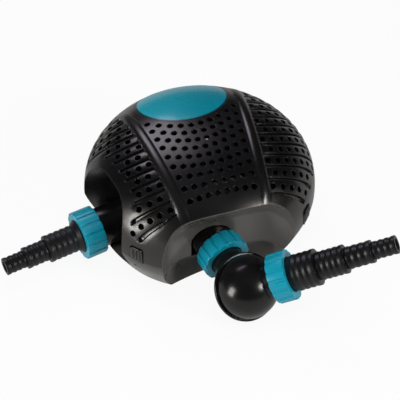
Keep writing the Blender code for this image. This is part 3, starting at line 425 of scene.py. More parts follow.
def sliceLoop(y):
    # one loop of the body at a given y: up the right, over the crown, down the left and under
    power = body["power"]
    out = abs(y) / body["halfY"]
    topLift = (1 - out ** power) ** (1 / power)
    lift = topLift * np.sin(np.linspace(0, math.pi / 2, slices["samples"]))
    x = body["halfX"] * np.sqrt(np.maximum((1 - lift ** power) ** (2 / power) - out ** 2, 0))
    z = body["widestZ"] + lift * crownRise
    run = np.concatenate([[0], np.cumsum(np.hypot(np.diff(x), np.diff(z)))])
    outer = min(bandEdge(y, 1), x[0] * 0.75)
    inner = min(bandEdge(y, -1), x[0] * 0.5)
    ramp = min(bands["ramp"], (outer - inner) * 0.2)
    marks = [x[0], outer + ramp, outer - ramp, inner + ramp, inner - ramp, 0.0]
    stops = np.interp([-mark for mark in marks], -x, run)
    counts = [slices[part] for part in ("sideCount", "rampCount", "bandCount", "rampCount", "middleCount")]
    parts = [np.linspace(a, b, n, endpoint=False) for a, b, n in zip(stops, stops[1:], counts)]
    along = np.append(np.concatenate(parts), run[-1])
    half = np.stack([np.interp(along, run, x), np.full(len(along), y), np.interp(along, run, z)], 1)
    other = half[-2::-1] * (-1, 1, 1)
    turn = np.linspace(0, math.pi, slices["underCount"] + 2)[1:-1]
    lowX = -x[0] * np.cos(turn)
    drop = np.maximum((1 - np.hypot(lowX / body["halfX"], out)) / footPull, 0) ** (1 / body["footPower"])
    under = np.stack([lowX, np.full(len(turn), y), body["widestZ"] * (1 - drop)], 1)
    return np.concatenate([half, other, under])


def sliceRows():
    # rows across the body from back to front, close together at the grooves between the courses
    pitch = courses["pitch"]
    inGroove = (1.0, 0.8, 0.6, 0.0, -0.6, -0.8, -1.0)
    between = (0.25, 0.38, 0.5, 0.62, 0.75)
    places = []
    for row in courseRows + [courseRows[-1] - pitch]:
        groove = row + pitch / 2
        places += [groove + step * courses["grooveHalf"] for step in inGroove]
        places += [groove - pitch * share for share in between]
    places = places[:-len(between)]
    end = body["halfY"] * slices["lastShare"]
    backRun, frontRun = (np.sin(np.linspace(0, math.pi / 2, slices[name] + 1))[1:]
                         for name in ("backCount", "frontCount"))
    backRun = places[0] + (end - places[0]) * backRun
    frontRun = places[-1] - (end + places[-1]) * frontRun
    return list(backRun[::-1]) + places + list(frontRun)


def courseMask(flat, points):
    # 1 on the ribbed side panels, 0 on the plain border, the bands and the middle panel
    x, y, z = flat.T
    edge, low = courses["edge"], courses["lowZ"]
    mask = smooth(np.abs(x) - bandEdge(y, 1), *courses["bandFade"])
    mask = mask * smooth(z, low, low + courses["lowFade"])
    mask = mask * smooth(nicheMargin(points), edge, edge + courses["edgeFade"])
    past = courses["pitch"] * courses["lastShare"]
    return mask * ((y < courseRows[0] + past) & (y > courseRows[-1] - past))


def surfaceRelief(flat, points):
    x, y, z = flat.T
    pitch = courses["pitch"]
    away = np.abs((y - courses["firstY"] + pitch) % pitch - pitch / 2)
    groove = 1 - smooth(away, courses["grooveFloor"], courses["grooveHalf"])
    pillow = (1 - away / (pitch / 2)) ** 2
    relief = -courseMask(flat, points) * (courses["grooveDepth"] * groove + courses["crown"] * pillow)
    off = (np.abs(x) - bandEdge(y, 0)) / (bands["width"] / 2)
    fade = smooth(z, bands["lowZ"], bands["highZ"])
    return relief + bands["raised"] * fade * (1 - bands["arch"] * off * off) * (np.abs(off) <= 1)


def bodyShape(inset=0.0, detailed=False, hollow=False, low=None, high=None):
    # a ball whose rings and meridians are laid onto the body's slices, kept between two heights
    loops = np.stack([sliceLoop(y) for y in sliceRows()])
    ringCount, columnCount = loops.shape[:2]
    flat = loops.reshape(-1, 3)
    points = swept(flat)
    lift = surfaceRelief(flat, points) if detailed else np.zeros(len(flat))
    if hollow:
        lift = lift - (body["crownWall"] - body["wall"]) * smooth(flat[:, 2], *body["crownFade"])
    points = points + bodyNormal(points) * (lift - inset)[:, None]
    if hollow:
        points = pullIn(points, inset)
    points = points.reshape(ringCount, columnCount, 3)
    shape = bmesh.new()
    bmesh.ops.create_uvsphere(shape, u_segments=columnCount, v_segments=ringCount + 1, radius=1)
    for point in shape.verts:
        ring = round(math.acos(max(-1.0, min(1.0, point.co.z))) / math.pi * (ringCount + 1))
        column = round(math.atan2(point.co.y, point.co.x) / (2 * math.pi) * columnCount) % columnCount
        if ring in (0, ringCount + 1):
            point.co = points[0 if ring == 0 else -1].mean(0)
        else:
            point.co = points[ring - 1, column]
    bmesh.ops.recalc_face_normals(shape, faces=shape.faces)
    for height, inner in ((low, True), (high, False)):
        if height is not None:
            bmesh.ops.bisect_plane(shape, geom=shape.verts[:] + shape.edges[:] + shape.faces[:],
                                   dist=0.000001, plane_co=(0, 0, height), plane_no=(0, 0, 1),
                                   clear_inner=inner, clear_outer=not inner)
            bmesh.ops.holes_fill(shape, edges=[edge for edge in shape.edges if edge.is_boundary])
    return shape


def scoop(name):
    # a niche as a solid: its wall as a grid, drawn outwards; below the seam the tray flares out again
    niche = niches[name]
    turn = Matrix.Rotation(niche["turn"], 4, 'Z')
    shape = bmesh.new()
    bmesh.ops.create_grid(shape, x_segments=scoops["columns"], y_segments=scoops["rows"], size=1)
    skin = shape.faces[:]
    for point in shape.verts:
        side = niche["middle"] + point.co.x * niche["half"] * scoops["widen"]
        z = scoops["middleZ"] + point.co.y * scoops["halfTall"]
        wall = -nicheRoom(dict(niche, turn=0.0), np.array([[side, 0.0, z]]))[0]
        foot = body["trayFront"] + body["trayBow"] * (abs(side) / body["bowRun"]) ** body["bowPower"]
        wall += max(foot - wall, 0) * min(max(1 - z / body["trayTop"], 0), 1)
        point.co = turn @ Vector((side, -wall, z))
    drawn = bmesh.ops.extrude_face_region(shape, geom=skin)["geom"]
    out = turn @ Vector((0, -2 * body["halfX"], 0))
    for item in drawn:
        if isinstance(item, bmesh.types.BMVert):
            item.co += out
    bmesh.ops.recalc_face_normals(shape, faces=shape.faces)
    return shape


# painted reflection of the floor: its warm grey, and how it fades off the niche wall and up the foot of the
# lobes
floorReflectionPaint = dict(color=(0.11, 0.103, 0.093, 1), wallFade=(0.4 * mm, 1.2 * mm), footFade=(20 * mm, 42 * mm),
               footShare=0.7)


def paintFloorReflection(made):
    # painted reflection: the front niche's wall and the foot of the lobes are painted a warm dark grey that
    # stands in for the white floor reflected in them
    tree, niche = made.node_tree, niches["front"]
    shader = tree.nodes["Principled BSDF"]
    plain = Wire(tree, shader.inputs["Base Color"].links[0].from_socket)
    x, y, z = axesOf(tree, objectSpace(tree))
    spread = abs(x - niche["middle"]) / niche["half"]
    climb = (z - niches["spring"]).atLeast(0) / (niche["top"] - niches["spring"])
    wall = niche["wall"] + niche["sideRise"] * spread ** niche["sidePower"]
    wall = wall + niche["topRise"] * climb ** niche["topPower"]
    onWall = 1 - abs(y + wall).ramp(*floorReflectionPaint["wallFade"])
    low = floorReflectionPaint["footShare"] - z.ramp(*floorReflectionPaint["footFade"]) * floorReflectionPaint["footShare"]
    feed(tree, shader, "Base Color", low.atLeast(onWall).tint(plain, floorReflectionPaint["color"]))


# the cage plastic, and the tray that shares it, get the painted floor reflection low down
paintFloorReflection(cagePlastic)

# strainer cage

holes = dict(radius=3.7 * mm, sides=16, pitch=11.6 * mm, sidePitch=12.8 * mm, edge=5 * mm, bandGap=7 * mm,
             bow=22 * mm, rim=11 * mm, reach=0.985, travel=mm)
plate = dict(y=73 * mm, halfX=56.5 * mm, halfY=50 * mm, thick=1.2 * mm, proud=0.3 * mm, gap=0.3 * mm,
             sides=96, rings=9, ringStep=0.1, edgeFrom=0.965, edgeRun=0.035, edgeDrop=0.35 * mm)
necks = dict(radius=24 * mm, relief=21.5 * mm, bore=16.5 * mm, holeGap=1.5 * mm, drop=40 * mm,
             inletRoot=niches["left"]["wall"] - 9 * mm, inletCage=130 * mm, inletNut=132.5 * mm,
             outletRoot=36 * mm, outletCage=82 * mm, outletNut=83.5 * mm, tailNut=35 * mm)
cordWay = dict(radius=5 * mm, x=45 * mm)


def onCrown(x, y):
    # the point of the bent course grid, its height and how far it stays clear of the niches
    x, y, z = swept(np.array([[x, y, 0.0]]))[0]
    spot = np.array([[x, y, float(crownZ(x, y))]])
    return spot, float(nicheMargin(spot)[0])


def holePlaces():
    places = []
    for row, endY in enumerate(courseRows[courses["back"]:]):
        bow = holes["bow"] * (1 - row / courses["forward"])
        half = bandEdge(endY, -1) - holes["bandGap"]
        count = round(2 * half / holes["pitch"]) + 1
        for i in range(count):
            x = half * (2 * i / (count - 1) - 1)
            y = endY - bow * (1 - (x / half) ** 2)
            clear = math.hypot(x / (plate["halfX"] + holes["edge"]),
                               (y - plate["y"]) / (plate["halfY"] + holes["edge"]))
            spot, margin = onCrown(x, y)
            if clear > 1 and margin > holes["rim"]:
                places.append(spot)
    for row, y in enumerate(courseRows):
        for side in (-1, 1):
            x = bandEdge(y, 1) + holes["edge"]
            spot, margin = onCrown(side * x, y)
            travel = holes["sidePitch"] * (1 if row % 2 else 0.5)
            while margin > holes["rim"] and spot[0, 2] > courses["lowZ"] + holes["radius"]:
                if travel >= holes["sidePitch"]:
                    places.append(spot)
                    travel = 0.0
                x += holes["travel"]
                if math.hypot(x / body["halfX"], y / body["halfY"]) > holes["reach"]:
                    break
                last = spot
                spot, margin = onCrown(side * x, y)
                travel += float(np.linalg.norm(spot - last))
    return places


def holeShape():
    shape = bmesh.new()
    for spot in holePlaces():
        turn = Vector(bodyNormal(spot)[0]).to_track_quat('Z', 'Y').to_matrix().to_4x4()
        bmesh.ops.create_cone(shape, cap_ends=True, segments=holes["sides"], radius1=holes["radius"],
                              radius2=holes["radius"], depth=body["wall"] * 5,
                              matrix=Matrix.Translation(spot[0]) @ turn)
    return shape


def takenBack(piece):
    # a helper piece's mesh as a shape again
    shape = bmesh.new()
    shape.from_mesh(piece.data)
    bpy.data.objects.remove(piece)
    return shape


def slotShape(axis, low, high):
    # round way for a neck, open downwards so that the cage lifts off
    half = necks["radius"] + necks["holeGap"]
    slot = newPiece("slot", rodShape(half, low, high, 64, axis))
    carve(slot, block((-necks["drop"], -half, low), (0, half, high), axis), 'UNION')
    return takenBack(slot)


def ovalShape(grow, low, high):
    shape = rodShape(1, low, high, plate["sides"])
    shape.transform(Matrix.Translation((0, plate["y"], 0))
                    @ Matrix.Diagonal((plate["halfX"] + grow, plate["halfY"] + grow, 1, 1)))
    return shape


def cordShape():
    turn = Matrix.Rotation(-math.pi / 2, 4, 'X')
    return rodShape(cordWay["radius"], 0, 2 * body["halfY"], 24,
                    Matrix.Translation((cordWay["x"], 0, body["seamZ"])) @ turn)


def makeCage():
    piece = newPiece("strainerCage", bodyShape(detailed=True, low=body["seamZ"]))
    carve(piece, scoop("front"))
    carve(piece, scoop("left"))
    carve(piece, bodyShape(body["wall"], hollow=True))
    recess = newPiece("recess", ovalShape(plate["gap"], body["widestZ"], body["height"] * 1.2))
    carve(recess, bodyShape(plate["thick"] + plate["gap"]))
    carve(piece, takenBack(recess))
    carve(piece, slotShape(inletAxis, necks["inletRoot"], necks["inletCage"]))
    carve(piece, slotShape(outletAxis, necks["outletRoot"], necks["outletCage"]))
    carve(piece, cordShape())
    return carve(piece, holeShape())


cage = makeCage()

# press latches: a ribbed grip in each lobe with an arm down to the catch

latch = dict(width=17 * mm, tall=22 * mm, low=57 * mm, thick=4 * mm, proud=0.6 * mm, arm=3 * mm,
             armLevels=4, armLow=22 * mm, swing=5.3 * mm, rise=6 * mm, gap=0.7 * mm, corner=5 * mm,
             bevel=0.35 * mm, ridges=3, ridgePitch=4.6 * mm, ridgeWide=2.4 * mm, ridgeHigh=1 * mm,
             ridgeDeep=2 * mm, ridgeEdge=3.5 * mm, ridgeBevel=0.45 * mm, catch=5 * mm, catchGap=0.3 * mm)
slit = dict(deep=25 * mm, low=36 * mm, high=41 * mm, near=5 * mm, far=8 * mm)
lobes = ("front_left", "front_right", "rear_left", "rear_right")


def latchFrame(lobe):
    # x outward, y up, z along the hinge
    joint = joints["latch_" + lobe + "_press"]
    along = Vector(joint["axis"])
    outward = up.cross(along)
    turn = Matrix((outward, up, along)).transposed()
    return Matrix.Translation(Vector(joint["pos_m"])) @ turn.to_4x4(), Vector(joint["pos_m"])


def latchFace(pivot):
    return math.hypot(pivot.x, pivot.y) + latch["thick"] + latch["arm"] / 2


def armFace(pivot, z):
    return (latchFace(pivot) - latch["proud"]) * footRatio(z) - body["wall"] - latch["swing"]


def roundTop(shape, top, offset):
    # the two upper corners of a plate that stands across the lobe
    corners = [edge for edge in shape.edges if all(abs(point.co.y - top) < 1e-6 for point in edge.verts)
               and abs(edge.verts[0].co.x - edge.verts[1].co.x) > 1e-6]
    bmesh.ops.bevel(shape, geom=corners, offset=offset, segments=6, profile=0.5, affect='EDGES',
                    material=-1)


def makeLatch(lobe):
    spot, pivot = latchFrame(lobe)
    reach = math.hypot(pivot.x, pivot.y)
    face = latchFace(pivot)
    back = face - latch["thick"]
    top, low = latch["low"] + latch["tall"], latch["low"]
    armTop = min(armFace(pivot, low), back - mm)
    steps = latch["armLevels"] - 1
    levels = [low - (low - latch["armLow"]) * i / steps for i in range(steps + 1)]
    outer = [(min(armFace(pivot, z), armTop), z) for z in levels]
    outline = [(face, top), (face, low), (back, low)] + outer
    outline += [(r - latch["arm"], z) for r, z in reversed(outer)]
    outline += [(armTop - latch["arm"], low + latch["rise"]), (back, low + 2 * latch["rise"]), (back, top)]
    shape = bmesh.new()
    half = latch["width"] / 2
    side = shape.faces.new([shape.verts.new((r - reach, z - pivot.z, -half)) for r, z in outline])
    raised = bmesh.ops.extrude_face_region(shape, geom=[side])["geom"]
    bmesh.ops.translate(shape, verts=[item for item in raised if isinstance(item, bmesh.types.BMVert)],
                        vec=(0, 0, 2 * half))
    bmesh.ops.recalc_face_normals(shape, faces=shape.faces)
    roundTop(shape, top - pivot.z, latch["corner"])
    shape.normal_update()
    crisp = [edge for edge in shape.edges if edge.calc_face_angle(0) > 0.6]
    bmesh.ops.bevel(shape, geom=crisp, offset=latch["bevel"], segments=2, profile=0.5, affect='EDGES',
                    material=-1)
    words = lobe.split("_")
    piece = newPiece("latch" + words[0].title() + words[1].title(), shape)
    ridgeLow, ridgeTop = low + latch["ridgeEdge"] - pivot.z, top - latch["ridgeEdge"] - pivot.z
    for i in range(latch["ridges"]):
        across = (i - (latch["ridges"] - 1) / 2) * latch["ridgePitch"]
        ridge = block((face - reach - latch["ridgeDeep"], ridgeLow, across - latch["ridgeWide"] / 2),
                      (face - reach + latch["ridgeHigh"], ridgeTop, across + latch["ridgeWide"] / 2),
                      bevel=latch["ridgeBevel"])
        carve(piece, ridge, 'UNION')
    piece.data.transform(spot)
    return piece


def latchPocket(lobe):
    spot, pivot = latchFrame(lobe)
    side = latch["width"] / 2 + latch["gap"]
    low = latch["low"] - latch["gap"] - pivot.z
    top = latch["low"] + latch["tall"] + latch["gap"] - pivot.z
    shape = block((-body["wall"] * 4, low, -side), (body["wall"] * 6, top, side))
    roundTop(shape, top, latch["corner"])
    shape.transform(spot)
    return shape


def slitShape(lobe):
    # the upright slit below the grip
    spot, pivot = latchFrame(lobe)
    return block((-slit["deep"], slit["low"] - pivot.z, slit["near"]),
                 (slit["deep"], slit["high"] - pivot.z, slit["far"]), spot)


for lobe in lobes:
    carve(cage, latchPocket(lobe))
    carve(cage, slitShape(lobe))
    dress(makeLatch(lobe), "latch_" + lobe, "latch_" + lobe, cagePlastic)
dress(cage, "cage", "upper_cage", cagePlastic, 32)

# base tray: open for the outlet at the front, a plain ledge under the inlet, posts for the latch arms


def makeTray():
    piece = newPiece("baseTray", bodyShape(low=0.0, high=body["trayTop"]))
    carve(piece, scoop("front"))
    carve(piece, bodyShape(body["wall"], hollow=True, low=body["floor"], high=2 * body["trayTop"]))
    half = necks["radius"] + necks["holeGap"]
    carve(piece, rodShape(half, necks["inletRoot"], necks["inletNut"], 64, inletAxis))
    carve(piece, rodShape(half, necks["outletRoot"], necks["outletNut"], 64, outletAxis))
    for lobe in lobes:
        spot, pivot = latchFrame(lobe)
        reach = math.hypot(pivot.x, pivot.y)
        outside = armFace(pivot, latch["armLow"]) - latch["arm"] - latch["catchGap"]
        low, high = body["floor"] / 2 - pivot.z, latch["armLow"] + latch["rise"] - pivot.z
        post = block((outside - latch["catch"] - reach, low, -latch["width"] / 2),
                     (outside - reach, high, latch["width"] / 2), spot)
        carve(piece, post, 'UNION')
    return carve(piece, cordShape())


dress(makeTray(), "base", "base_tray", cagePlastic)

# bare oval plate on the back of the crown


def makePlate():
    shape = bmesh.new()
    bmesh.ops.create_circle(shape, cap_ends=True, segments=plate["sides"], radius=1)
    for i in range(plate["rings"]):
        core = max(shape.faces, key=lambda face: len(face.verts))
        bmesh.ops.inset_individual(shape, faces=[core], thickness=plate["ringStep"], use_even_offset=True)
    for point in shape.verts:
        x, y = point.co.x * plate["halfX"], point.co.y * plate["halfY"] + plate["y"]
        spot = np.array([[x, y, float(crownZ(x, y))]])
        edge = max(point.co.xy.length - plate["edgeFrom"], 0) / plate["edgeRun"]
        rise = plate["proud"] - edge * edge * plate["edgeDrop"]
        point.co = Vector(spot[0]) + Vector(bodyNormal(spot)[0]) * rise
    bmesh.ops.recalc_face_normals(shape, faces=shape.faces)
    if max(shape.faces, key=lambda face: face.calc_center_median().z).normal.z < 0:
        bmesh.ops.reverse_faces(shape, faces=shape.faces)
    piece = newPiece("ovalPlate", shape)
    skin = piece.modifiers.new("sheet", 'SOLIDIFY')
    skin.thickness = plate["thick"]
    skin.offset = -1
    return settle(piece)


def platePaint():
    # teal with painted light: lighter towards the upper left, as if lit from that side, with a thin dark
    # edge
    made, tree, shader = opened("platePaint", 0.26, 0.4, 0.0, 0.1)
    where = objectSpace(tree)
    across, along = axesOf(tree, where)[:2]
    x = across / plate["halfX"]
    y = (along - plate["y"]) / plate["halfY"]
    edge = ((x * x + y * y) ** 0.5).ramp(0.955, 0.975)
    # painted light: the teal grows lighter towards the upper left
    light = (0.55 - x * 0.45 + y * 0.35).ramp(0.0, 1.1)
    cloud = grain(tree, where, 40, 3)
    teal = (light * 0.9 + cloud * 0.1).tint((0.002, 0.215, 0.29, 1), (0.01, 0.37, 0.46, 1))
    feed(tree, shader, "Base Color", edge.tint(teal, (0.004, 0.03, 0.04, 1)))
    feed(tree, shader, "Roughness", 0.22 + cloud * 0.1)
    feed(tree, shader, "Normal", bump(tree, grain(tree, where, 420, 2), 0.2, 0.03 * mm))
    return made


dress(makePlate(), "cage", "nameplate", platePaint())

# unions: fluted nut, loose flange and stepped hose tail

nut = dict(radius=29.5 * mm, inletLong=25 * mm, elbowLong=21 * mm, lip=4 * mm, bore=24.3 * mm,
           neckHole=20.4 * mm, flutes=15, perFlute=24, grooveDepth=1.3 * mm, grooveFloor=1.5 * mm,
           grooveHalf=2.2 * mm, crown=0.3 * mm, corner=1.1 * mm, skin=2.2 * mm, fade=1.4 * mm)
tail = dict(flange=4 * mm, seal=2 * mm, gap=0.3 * mm, collar=20 * mm, barb=0.8 * mm, wall=3.2 * mm,
            ribPitch=7.4 * mm, ribFrom=0.12, ribShoulder=0.36, ribTop=0.62, shoulderDrop=0.1 * mm,
            corner=0.6 * mm, boreLead=9 * mm, steps=72)


def unionPlaces(start, long):
    flangeFront = start + long - nut["lip"] - tail["gap"]
    flangeBack = flangeFront - tail["flange"]
    return dict(start=start, front=start + long, flangeBack=flangeBack, flangeFront=flangeFront,
                neckEnd=flangeBack - 2 * tail["gap"] - tail["seal"])


inletUnion = unionPlaces(necks["inletNut"], nut["inletLong"])
outletUnion = unionPlaces(necks["outletNut"], nut["elbowLong"])
tailUnion = unionPlaces(necks["tailNut"], nut["elbowLong"])


def nutShape(axis, union):
    low, high = union["start"], union["front"]
    lip = high - nut["lip"]
    outline = [(nut["bore"], low), (nut["radius"], low), (nut["radius"], high), (nut["neckHole"], high),
               (nut["neckHole"], lip), (nut["bore"], lip)]
    shape = spun(rounded(outline, nut["corner"], steps=4), nut["flutes"] * nut["perFlute"])
    pitch = 2 * math.pi / nut["flutes"]
    for point in shape.verts:
        radius = point.co.xy.length
        if radius < nut["radius"] - nut["skin"]:
            continue
        away = abs((math.atan2(point.co.y, point.co.x) + pitch / 2) % pitch - pitch / 2)
        groove = 1 - float(smooth(away * nut["radius"], nut["grooveFloor"], nut["grooveHalf"]))
        flat = nut["crown"] * (1 - 2 * away / pitch) ** 2
        share = min(1.0, (radius - nut["radius"] + nut["skin"]) / nut["fade"])
        point.co.xy *= 1 - (groove * nut["grooveDepth"] + flat) * share / radius
    shape.transform(axis)
    return shape


def tailShape(axis, union, collarLong, radii, lengths):
    outline = [(necks["radius"], union["flangeBack"]), (necks["radius"], union["flangeFront"]),
               (tail["collar"], union["flangeFront"]), (tail["collar"], union["front"] + mm)]
    bore = [(necks["bore"], union["flangeBack"])]
    low, narrow = union["front"] + collarLong, union["front"]
    for radius, length in zip(radii, lengths):
        ribs = round(length / tail["ribPitch"])
        for j in range(ribs):
            at, pitch = low + j * length / ribs, length / ribs
            valley, shoulder = radius - tail["barb"], radius - tail["shoulderDrop"]
            outline += [(valley, at), (valley, at + tail["ribFrom"] * pitch),
                        (shoulder, at + tail["ribShoulder"] * pitch), (radius, at + tail["ribTop"] * pitch)]
        low += length
        outline += [(radius, low)]
        inside = min(radius - tail["barb"] - tail["wall"], necks["bore"])
        bore += [(inside, narrow), (inside, low - 2 * tail["boreLead"])]
        narrow = low - tail["boreLead"]
    bore[-1] = (bore[-1][0], low)
    return spun(rounded(outline + bore[::-1], tail["corner"], steps=2), tail["steps"], axis)


for name, axis, union in (("inlet_nut", inletAxis, inletUnion), ("outlet_nut", outletAxis, outletUnion),
                          ("tail_nut", tailAxis, tailUnion)):
    piece = newPiece(name.split("_")[0] + "Nut", nutShape(axis, union))
    dress(piece, name, name, tealPlastic, 40)

inletSteps = dict(collarLong=6 * mm, radii=(16.6 * mm, 13.2 * mm, 10.6 * mm),
                  lengths=(36 * mm, 28 * mm, 26 * mm))
outletSteps = dict(collarLong=4 * mm, radii=(21.4 * mm, 16.8 * mm, 13.2 * mm, 10.6 * mm),
                   lengths=(28.5 * mm, 34 * mm, 32 * mm, 28.5 * mm))
inletTail = newPiece("inletTail", tailShape(inletAxis, inletUnion, **inletSteps))
dress(inletTail, "inlet_tail", "inlet_tail", tailPlastic, 40)
outletTail = newPiece("outletTail", tailShape(tailAxis, tailUnion, **outletSteps))
dress(outletTail, "outlet_tail", "outlet_tail", tailPlastic, 40)

# ball elbow in two halves

ball = dict(radius=37.5 * mm, wall=4 * mm, rim=40.3 * mm, rimThick=5 * mm, rimCorner=1.2 * mm,
            seam=0.15 * mm, steps=96, arcSteps=24, neckShare=0.72, boreEnd=12 * mm)


def domeOutline(side, rim):
    # half shell on one side of the seam, from its pole to the seam and back inside
    inner = ball["radius"] - ball["wall"]
    arc = [math.pi / 2 * i / ball["arcSteps"] for i in range(ball["arcSteps"] + 1)]
    edge = ball["seam"]
    outside = [(ball["radius"] * math.sin(a), ball["radius"] * math.cos(a)) for a in arc]
    if rim:
        cut = math.sqrt(ball["radius"] ** 2 - ball["rimThick"] ** 2)
        outside = [spot for spot in outside if spot[1] > ball["rimThick"]]
        corner = rounded([(cut, ball["rimThick"]), (ball["rim"], ball["rimThick"]), (ball["rim"], edge),
                          (inner, edge)], ball["rimCorner"], sharp=(0, 3))
        outside += corner[:-1]
    else:
        outside = [spot for spot in outside if spot[1] > edge] + [(ball["radius"], edge)]
    inside = [(inner * math.sin(a), inner * math.cos(a)) for a in arc if inner * math.cos(a) > edge]
    loop = outside + [(inner, edge)] + inside[::-1]
    return [(r, side * h) for r, h in loop]


def makeElbowRear():
    piece = newPiece("elbowRear", spun(domeOutline(-1, True), ball["steps"], seamAxis))
    start, flange = outletUnion["flangeBack"], outletUnion["flangeFront"]
    end = ballOut - ball["radius"] * ball["neckShare"]
    outline = [(0, start), (necks["radius"], start), (necks["radius"], flange), (tail["collar"], flange),
               (tail["collar"], end), (0, end)]
    carve(piece, spun(outline, ball["steps"], outletAxis), 'UNION')
    return carve(piece, rodShape(necks["bore"], start - mm, ballOut - ball["boreEnd"], 64, outletAxis))


def makeElbowFront():
    piece = newPiece("elbowFront", spun(domeOutline(1, False), ball["steps"], seamAxis))
    start, end = ball["radius"] * ball["neckShare"], tailUnion["neckEnd"]
    carve(piece, rodShape(necks["radius"], start, end, ball["steps"], tailAxis), 'UNION')
    return carve(piece, rodShape(necks["bore"], ball["boreEnd"], end + mm, 64, tailAxis))


dress(makeElbowRear(), "elbow_rear", "elbow_rear", glossPlastic)
dress(makeElbowFront(), "elbow_front", "elbow_front", glossPlastic)

# pump chamber with the outlet neck, and the suction cover with the inlet neck

pump = dict(caseR=34 * mm, chamberR=27 * mm, back=-1.3 * mm, front=-42.4 * mm, corner=0.8 * mm,
            rootR=19.5 * mm, rootIn=13.5 * mm, flare=9 * mm, shoulder=7.5 * mm, reliefLow=2 * mm,
            reliefHigh=mm, reliefEnd=2 * mm, neckCorner=1.5 * mm, boreBack=10 * mm)
cover = dict(face=-43.7 * mm, front=-49.7 * mm, screws=4, screwRing=30.5 * mm, screwHole=2.1 * mm,
             spider=5 * mm, hub=6.5 * mm, hubDrop=0.3 * mm, socket=2.55 * mm, socketFloor=2 * mm)


def makeVolute():
    outline = [(0, pump["front"]), (pump["caseR"], pump["front"]), (pump["caseR"], pump["back"]),
               (0, pump["back"])]
    piece = newPiece("volute", spun(rounded(outline, pump["corner"]), 96, rotorAxis))
    root = pump["caseR"] - pump["rootIn"]
    start, end = outletUnion["start"], outletUnion["neckEnd"]
    neck = [(0, 0), (pump["rootR"], 0), (pump["rootR"], root), (necks["radius"], root + pump["flare"]),
            (necks["radius"], start - pump["shoulder"]), (necks["relief"], start - pump["reliefLow"]),
            (necks["relief"], start + pump["reliefHigh"]), (necks["radius"], start + pump["reliefEnd"]),
            (necks["radius"], end), (0, end)]
    carve(piece, spun(rounded(neck, pump["neckCorner"], sharp=(0, 1, 6, 7, 9)), 96, outletAxis), 'UNION')
    carve(piece, rodShape(pump["chamberR"], pump["front"] * 1.5, -pump["front"], 96, rotorAxis))
    return carve(piece, rodShape(necks["bore"], -pump["boreBack"], end + mm, 64, outletAxis))


def makeSuctionCover():
    face, front, end = cover["face"], cover["front"], -inletUnion["neckEnd"]
    outline = [(pump["caseR"], face), (pump["caseR"], front), (necks["radius"], front),
               (necks["radius"], end), (necks["bore"], end), (necks["bore"], face)]
    piece = newPiece("suctionCover", spun(rounded(outline, pump["corner"], sharp=(5,)), 96, rotorAxis))
    hubFace = face - cover["hubDrop"]
    bar = block((-necks["bore"] - mm, -cover["spider"] / 2, front),
                (necks["bore"] + mm, cover["spider"] / 2, hubFace), rotorAxis)
    carve(piece, bar, 'UNION')
    carve(piece, rodShape(cover["hub"], front - mm, hubFace, 32, rotorAxis), 'UNION')
    carve(piece, rodShape(cover["socket"], front + cover["socketFloor"], face + mm, 32, rotorAxis))
    for i in range(cover["screws"]):
        turn = Matrix.Rotation(math.pi / 4 + i * math.pi / 2, 4, 'Z')
        spot = rotorAxis @ turn @ Matrix.Translation((cover["screwRing"], 0, 0))
        carve(piece, rodShape(cover["screwHole"], front - mm, face + mm, 24, spot))
    return piece


dress(makeVolute(), "base", "volute", glossPlastic)
dress(makeSuctionCover(), "base", "suction_cover", glossPlastic)

# pieces that keep their own solids

finishes = {"chamber_gasket": rubber, "cover_gasket": rubber, "cable_gland": rubber,
            "motor_foot_front": rubber, "motor_foot_rear": rubber, "inlet_seal": rubber,
            "outlet_seal": rubber, "tail_seal": rubber, "swivel_seal": rubber,
            "rotor_well": resinPlastic, "motor_can": resinPlastic,
            "motor_end_cap": resinPlastic, "impeller": resinPlastic, "stator_core": coreSteel,
            "coil_front": copperWire, "coil_rear": copperWire, "shaft": ceramic, "front_bush": ceramic,
            "rear_bush": ceramic, "rotor_magnet": ferrite}
for name, node in frame["nodes"].items():
    if not node.hide_render:
        node.data.materials.clear()
        node.data.materials.append(screwSteel if name.startswith("cover_screw") else finishes[name])
        node.data.set_sharp_from_angle(angle=math.radians(35))
print("solids finished")

# floor, light and camera: white paper all round, dim overhead, softboxes for the highlights

studio = dict(paper=0.86, glow=0.92, mirrored=0.55, overhead=0.06, horizon=1.3, horizonEnd=0.5,
              floorHalf=6, floorZ=-0.2 * mm)

floorShape = bmesh.new()
bmesh.ops.create_grid(floorShape, x_segments=1, y_segments=1, size=studio["floorHalf"])
floor = newPiece("floor", floorShape)
floor.location.z = studio["floorZ"]
paper, tree, shader = opened("paper", 0.9, 0.1)
shader.inputs["Base Color"].default_value = (studio["paper"], studio["paper"], studio["paper"], 1)
rays = Wire.node(tree, "ShaderNodeLightPath", {}, {}, "Is Camera Ray")
seen = rays + Wire(tree, rays.socket.node.outputs["Is Transmission Ray"])
mirrored = Wire(tree, rays.socket.node.outputs["Is Glossy Ray"])
glow = Wire.node(tree, "ShaderNodeEmission", {}, {"Color": white, "Strength": 1.0})
grey = Wire.node(tree, "ShaderNodeEmission", {}, {"Color": white, "Strength": studio["mirrored"]})
sheet = Wire(tree, shader.outputs[0])
sheet = Wire.node(tree, "ShaderNodeMixShader", {}, {0: seen * studio["glow"], 1: sheet, 2: glow})
sheet = Wire.node(tree, "ShaderNodeMixShader", {}, {0: mirrored, 1: sheet, 2: grey})
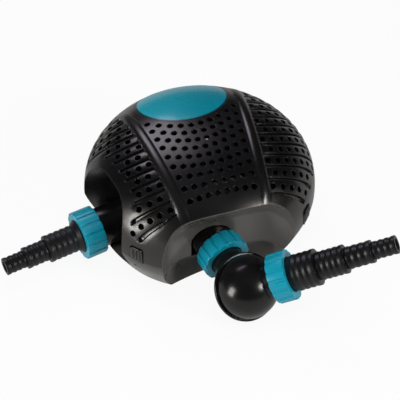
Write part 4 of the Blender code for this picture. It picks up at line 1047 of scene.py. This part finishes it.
feed(tree, tree.nodes["Material Output"], "Surface", sheet)
floor.data.materials.append(paper)

world = bpy.data.worlds.new("studio")
bpy.context.scene.world = world
world.use_nodes = True
tree = world.node_tree
height = axesOf(tree, Wire.node(tree, "ShaderNodeTexCoord", {}, {}, "Generated"))[2]
fall = height.ramp(0.0, studio["horizonEnd"]) * (studio["horizon"] - studio["overhead"])
feed(tree, tree.nodes["Background"], "Strength", studio["horizon"] - fall)


def softbox(name, place, target, size, power, color=(1, 1, 1)):
    lamp = bpy.data.lights.new(name, 'AREA')
    lamp.shape = 'RECTANGLE'
    lamp.size, lamp.size_y = size
    lamp.energy = power
    lamp.color = color
    made = bpy.data.objects.new(name, lamp)
    bpy.context.scene.collection.objects.link(made)
    made.location = place
    made.rotation_euler = (Vector(target) - Vector(place)).to_track_quat('-Z', 'Y').to_euler()
    return made


softbox("backBox", (-0.2, 1.12, 1.26), (0, 0, 0.1), (0.75, 0.65), 6.5, (0.88, 0.84, 1.0))
softbox("leftBox", (-1.45, -0.5, 0.36), (0, 0, 0.08), (0.5, 0.72), 13)
softbox("rightBox", (0.95, -1.1, 0.86), (0, -0.05, 0.06), (0.35, 0.35), 11)
softbox("fill", (0, -0.3, 1.6), (0, 0, 0), (1.4, 1.4), 14).visible_glossy = False

camera = bpy.data.objects.new("camera", bpy.data.cameras.new("camera"))
bpy.context.scene.collection.objects.link(camera)
bpy.context.scene.camera = camera
shot = dict(target=(0.39 * mm, -0.12 * mm, 32.36 * mm), azimuth=-17.5, elevation=48, distance=1.5993,
            lens=117, sensor=36)
turn, rise = math.radians(shot["azimuth"]), math.radians(shot["elevation"])
back = Vector((math.sin(turn) * math.cos(rise), -math.cos(turn) * math.cos(rise), math.sin(rise)))
camera.location = Vector(shot["target"]) + back * shot["distance"]
camera.rotation_euler = (-back).to_track_quat('-Z', 'Y').to_euler()
camera.data.lens = shot["lens"]
camera.data.sensor_width = shot["sensor"]
bpy.context.scene.view_settings.view_transform = 'Standard'
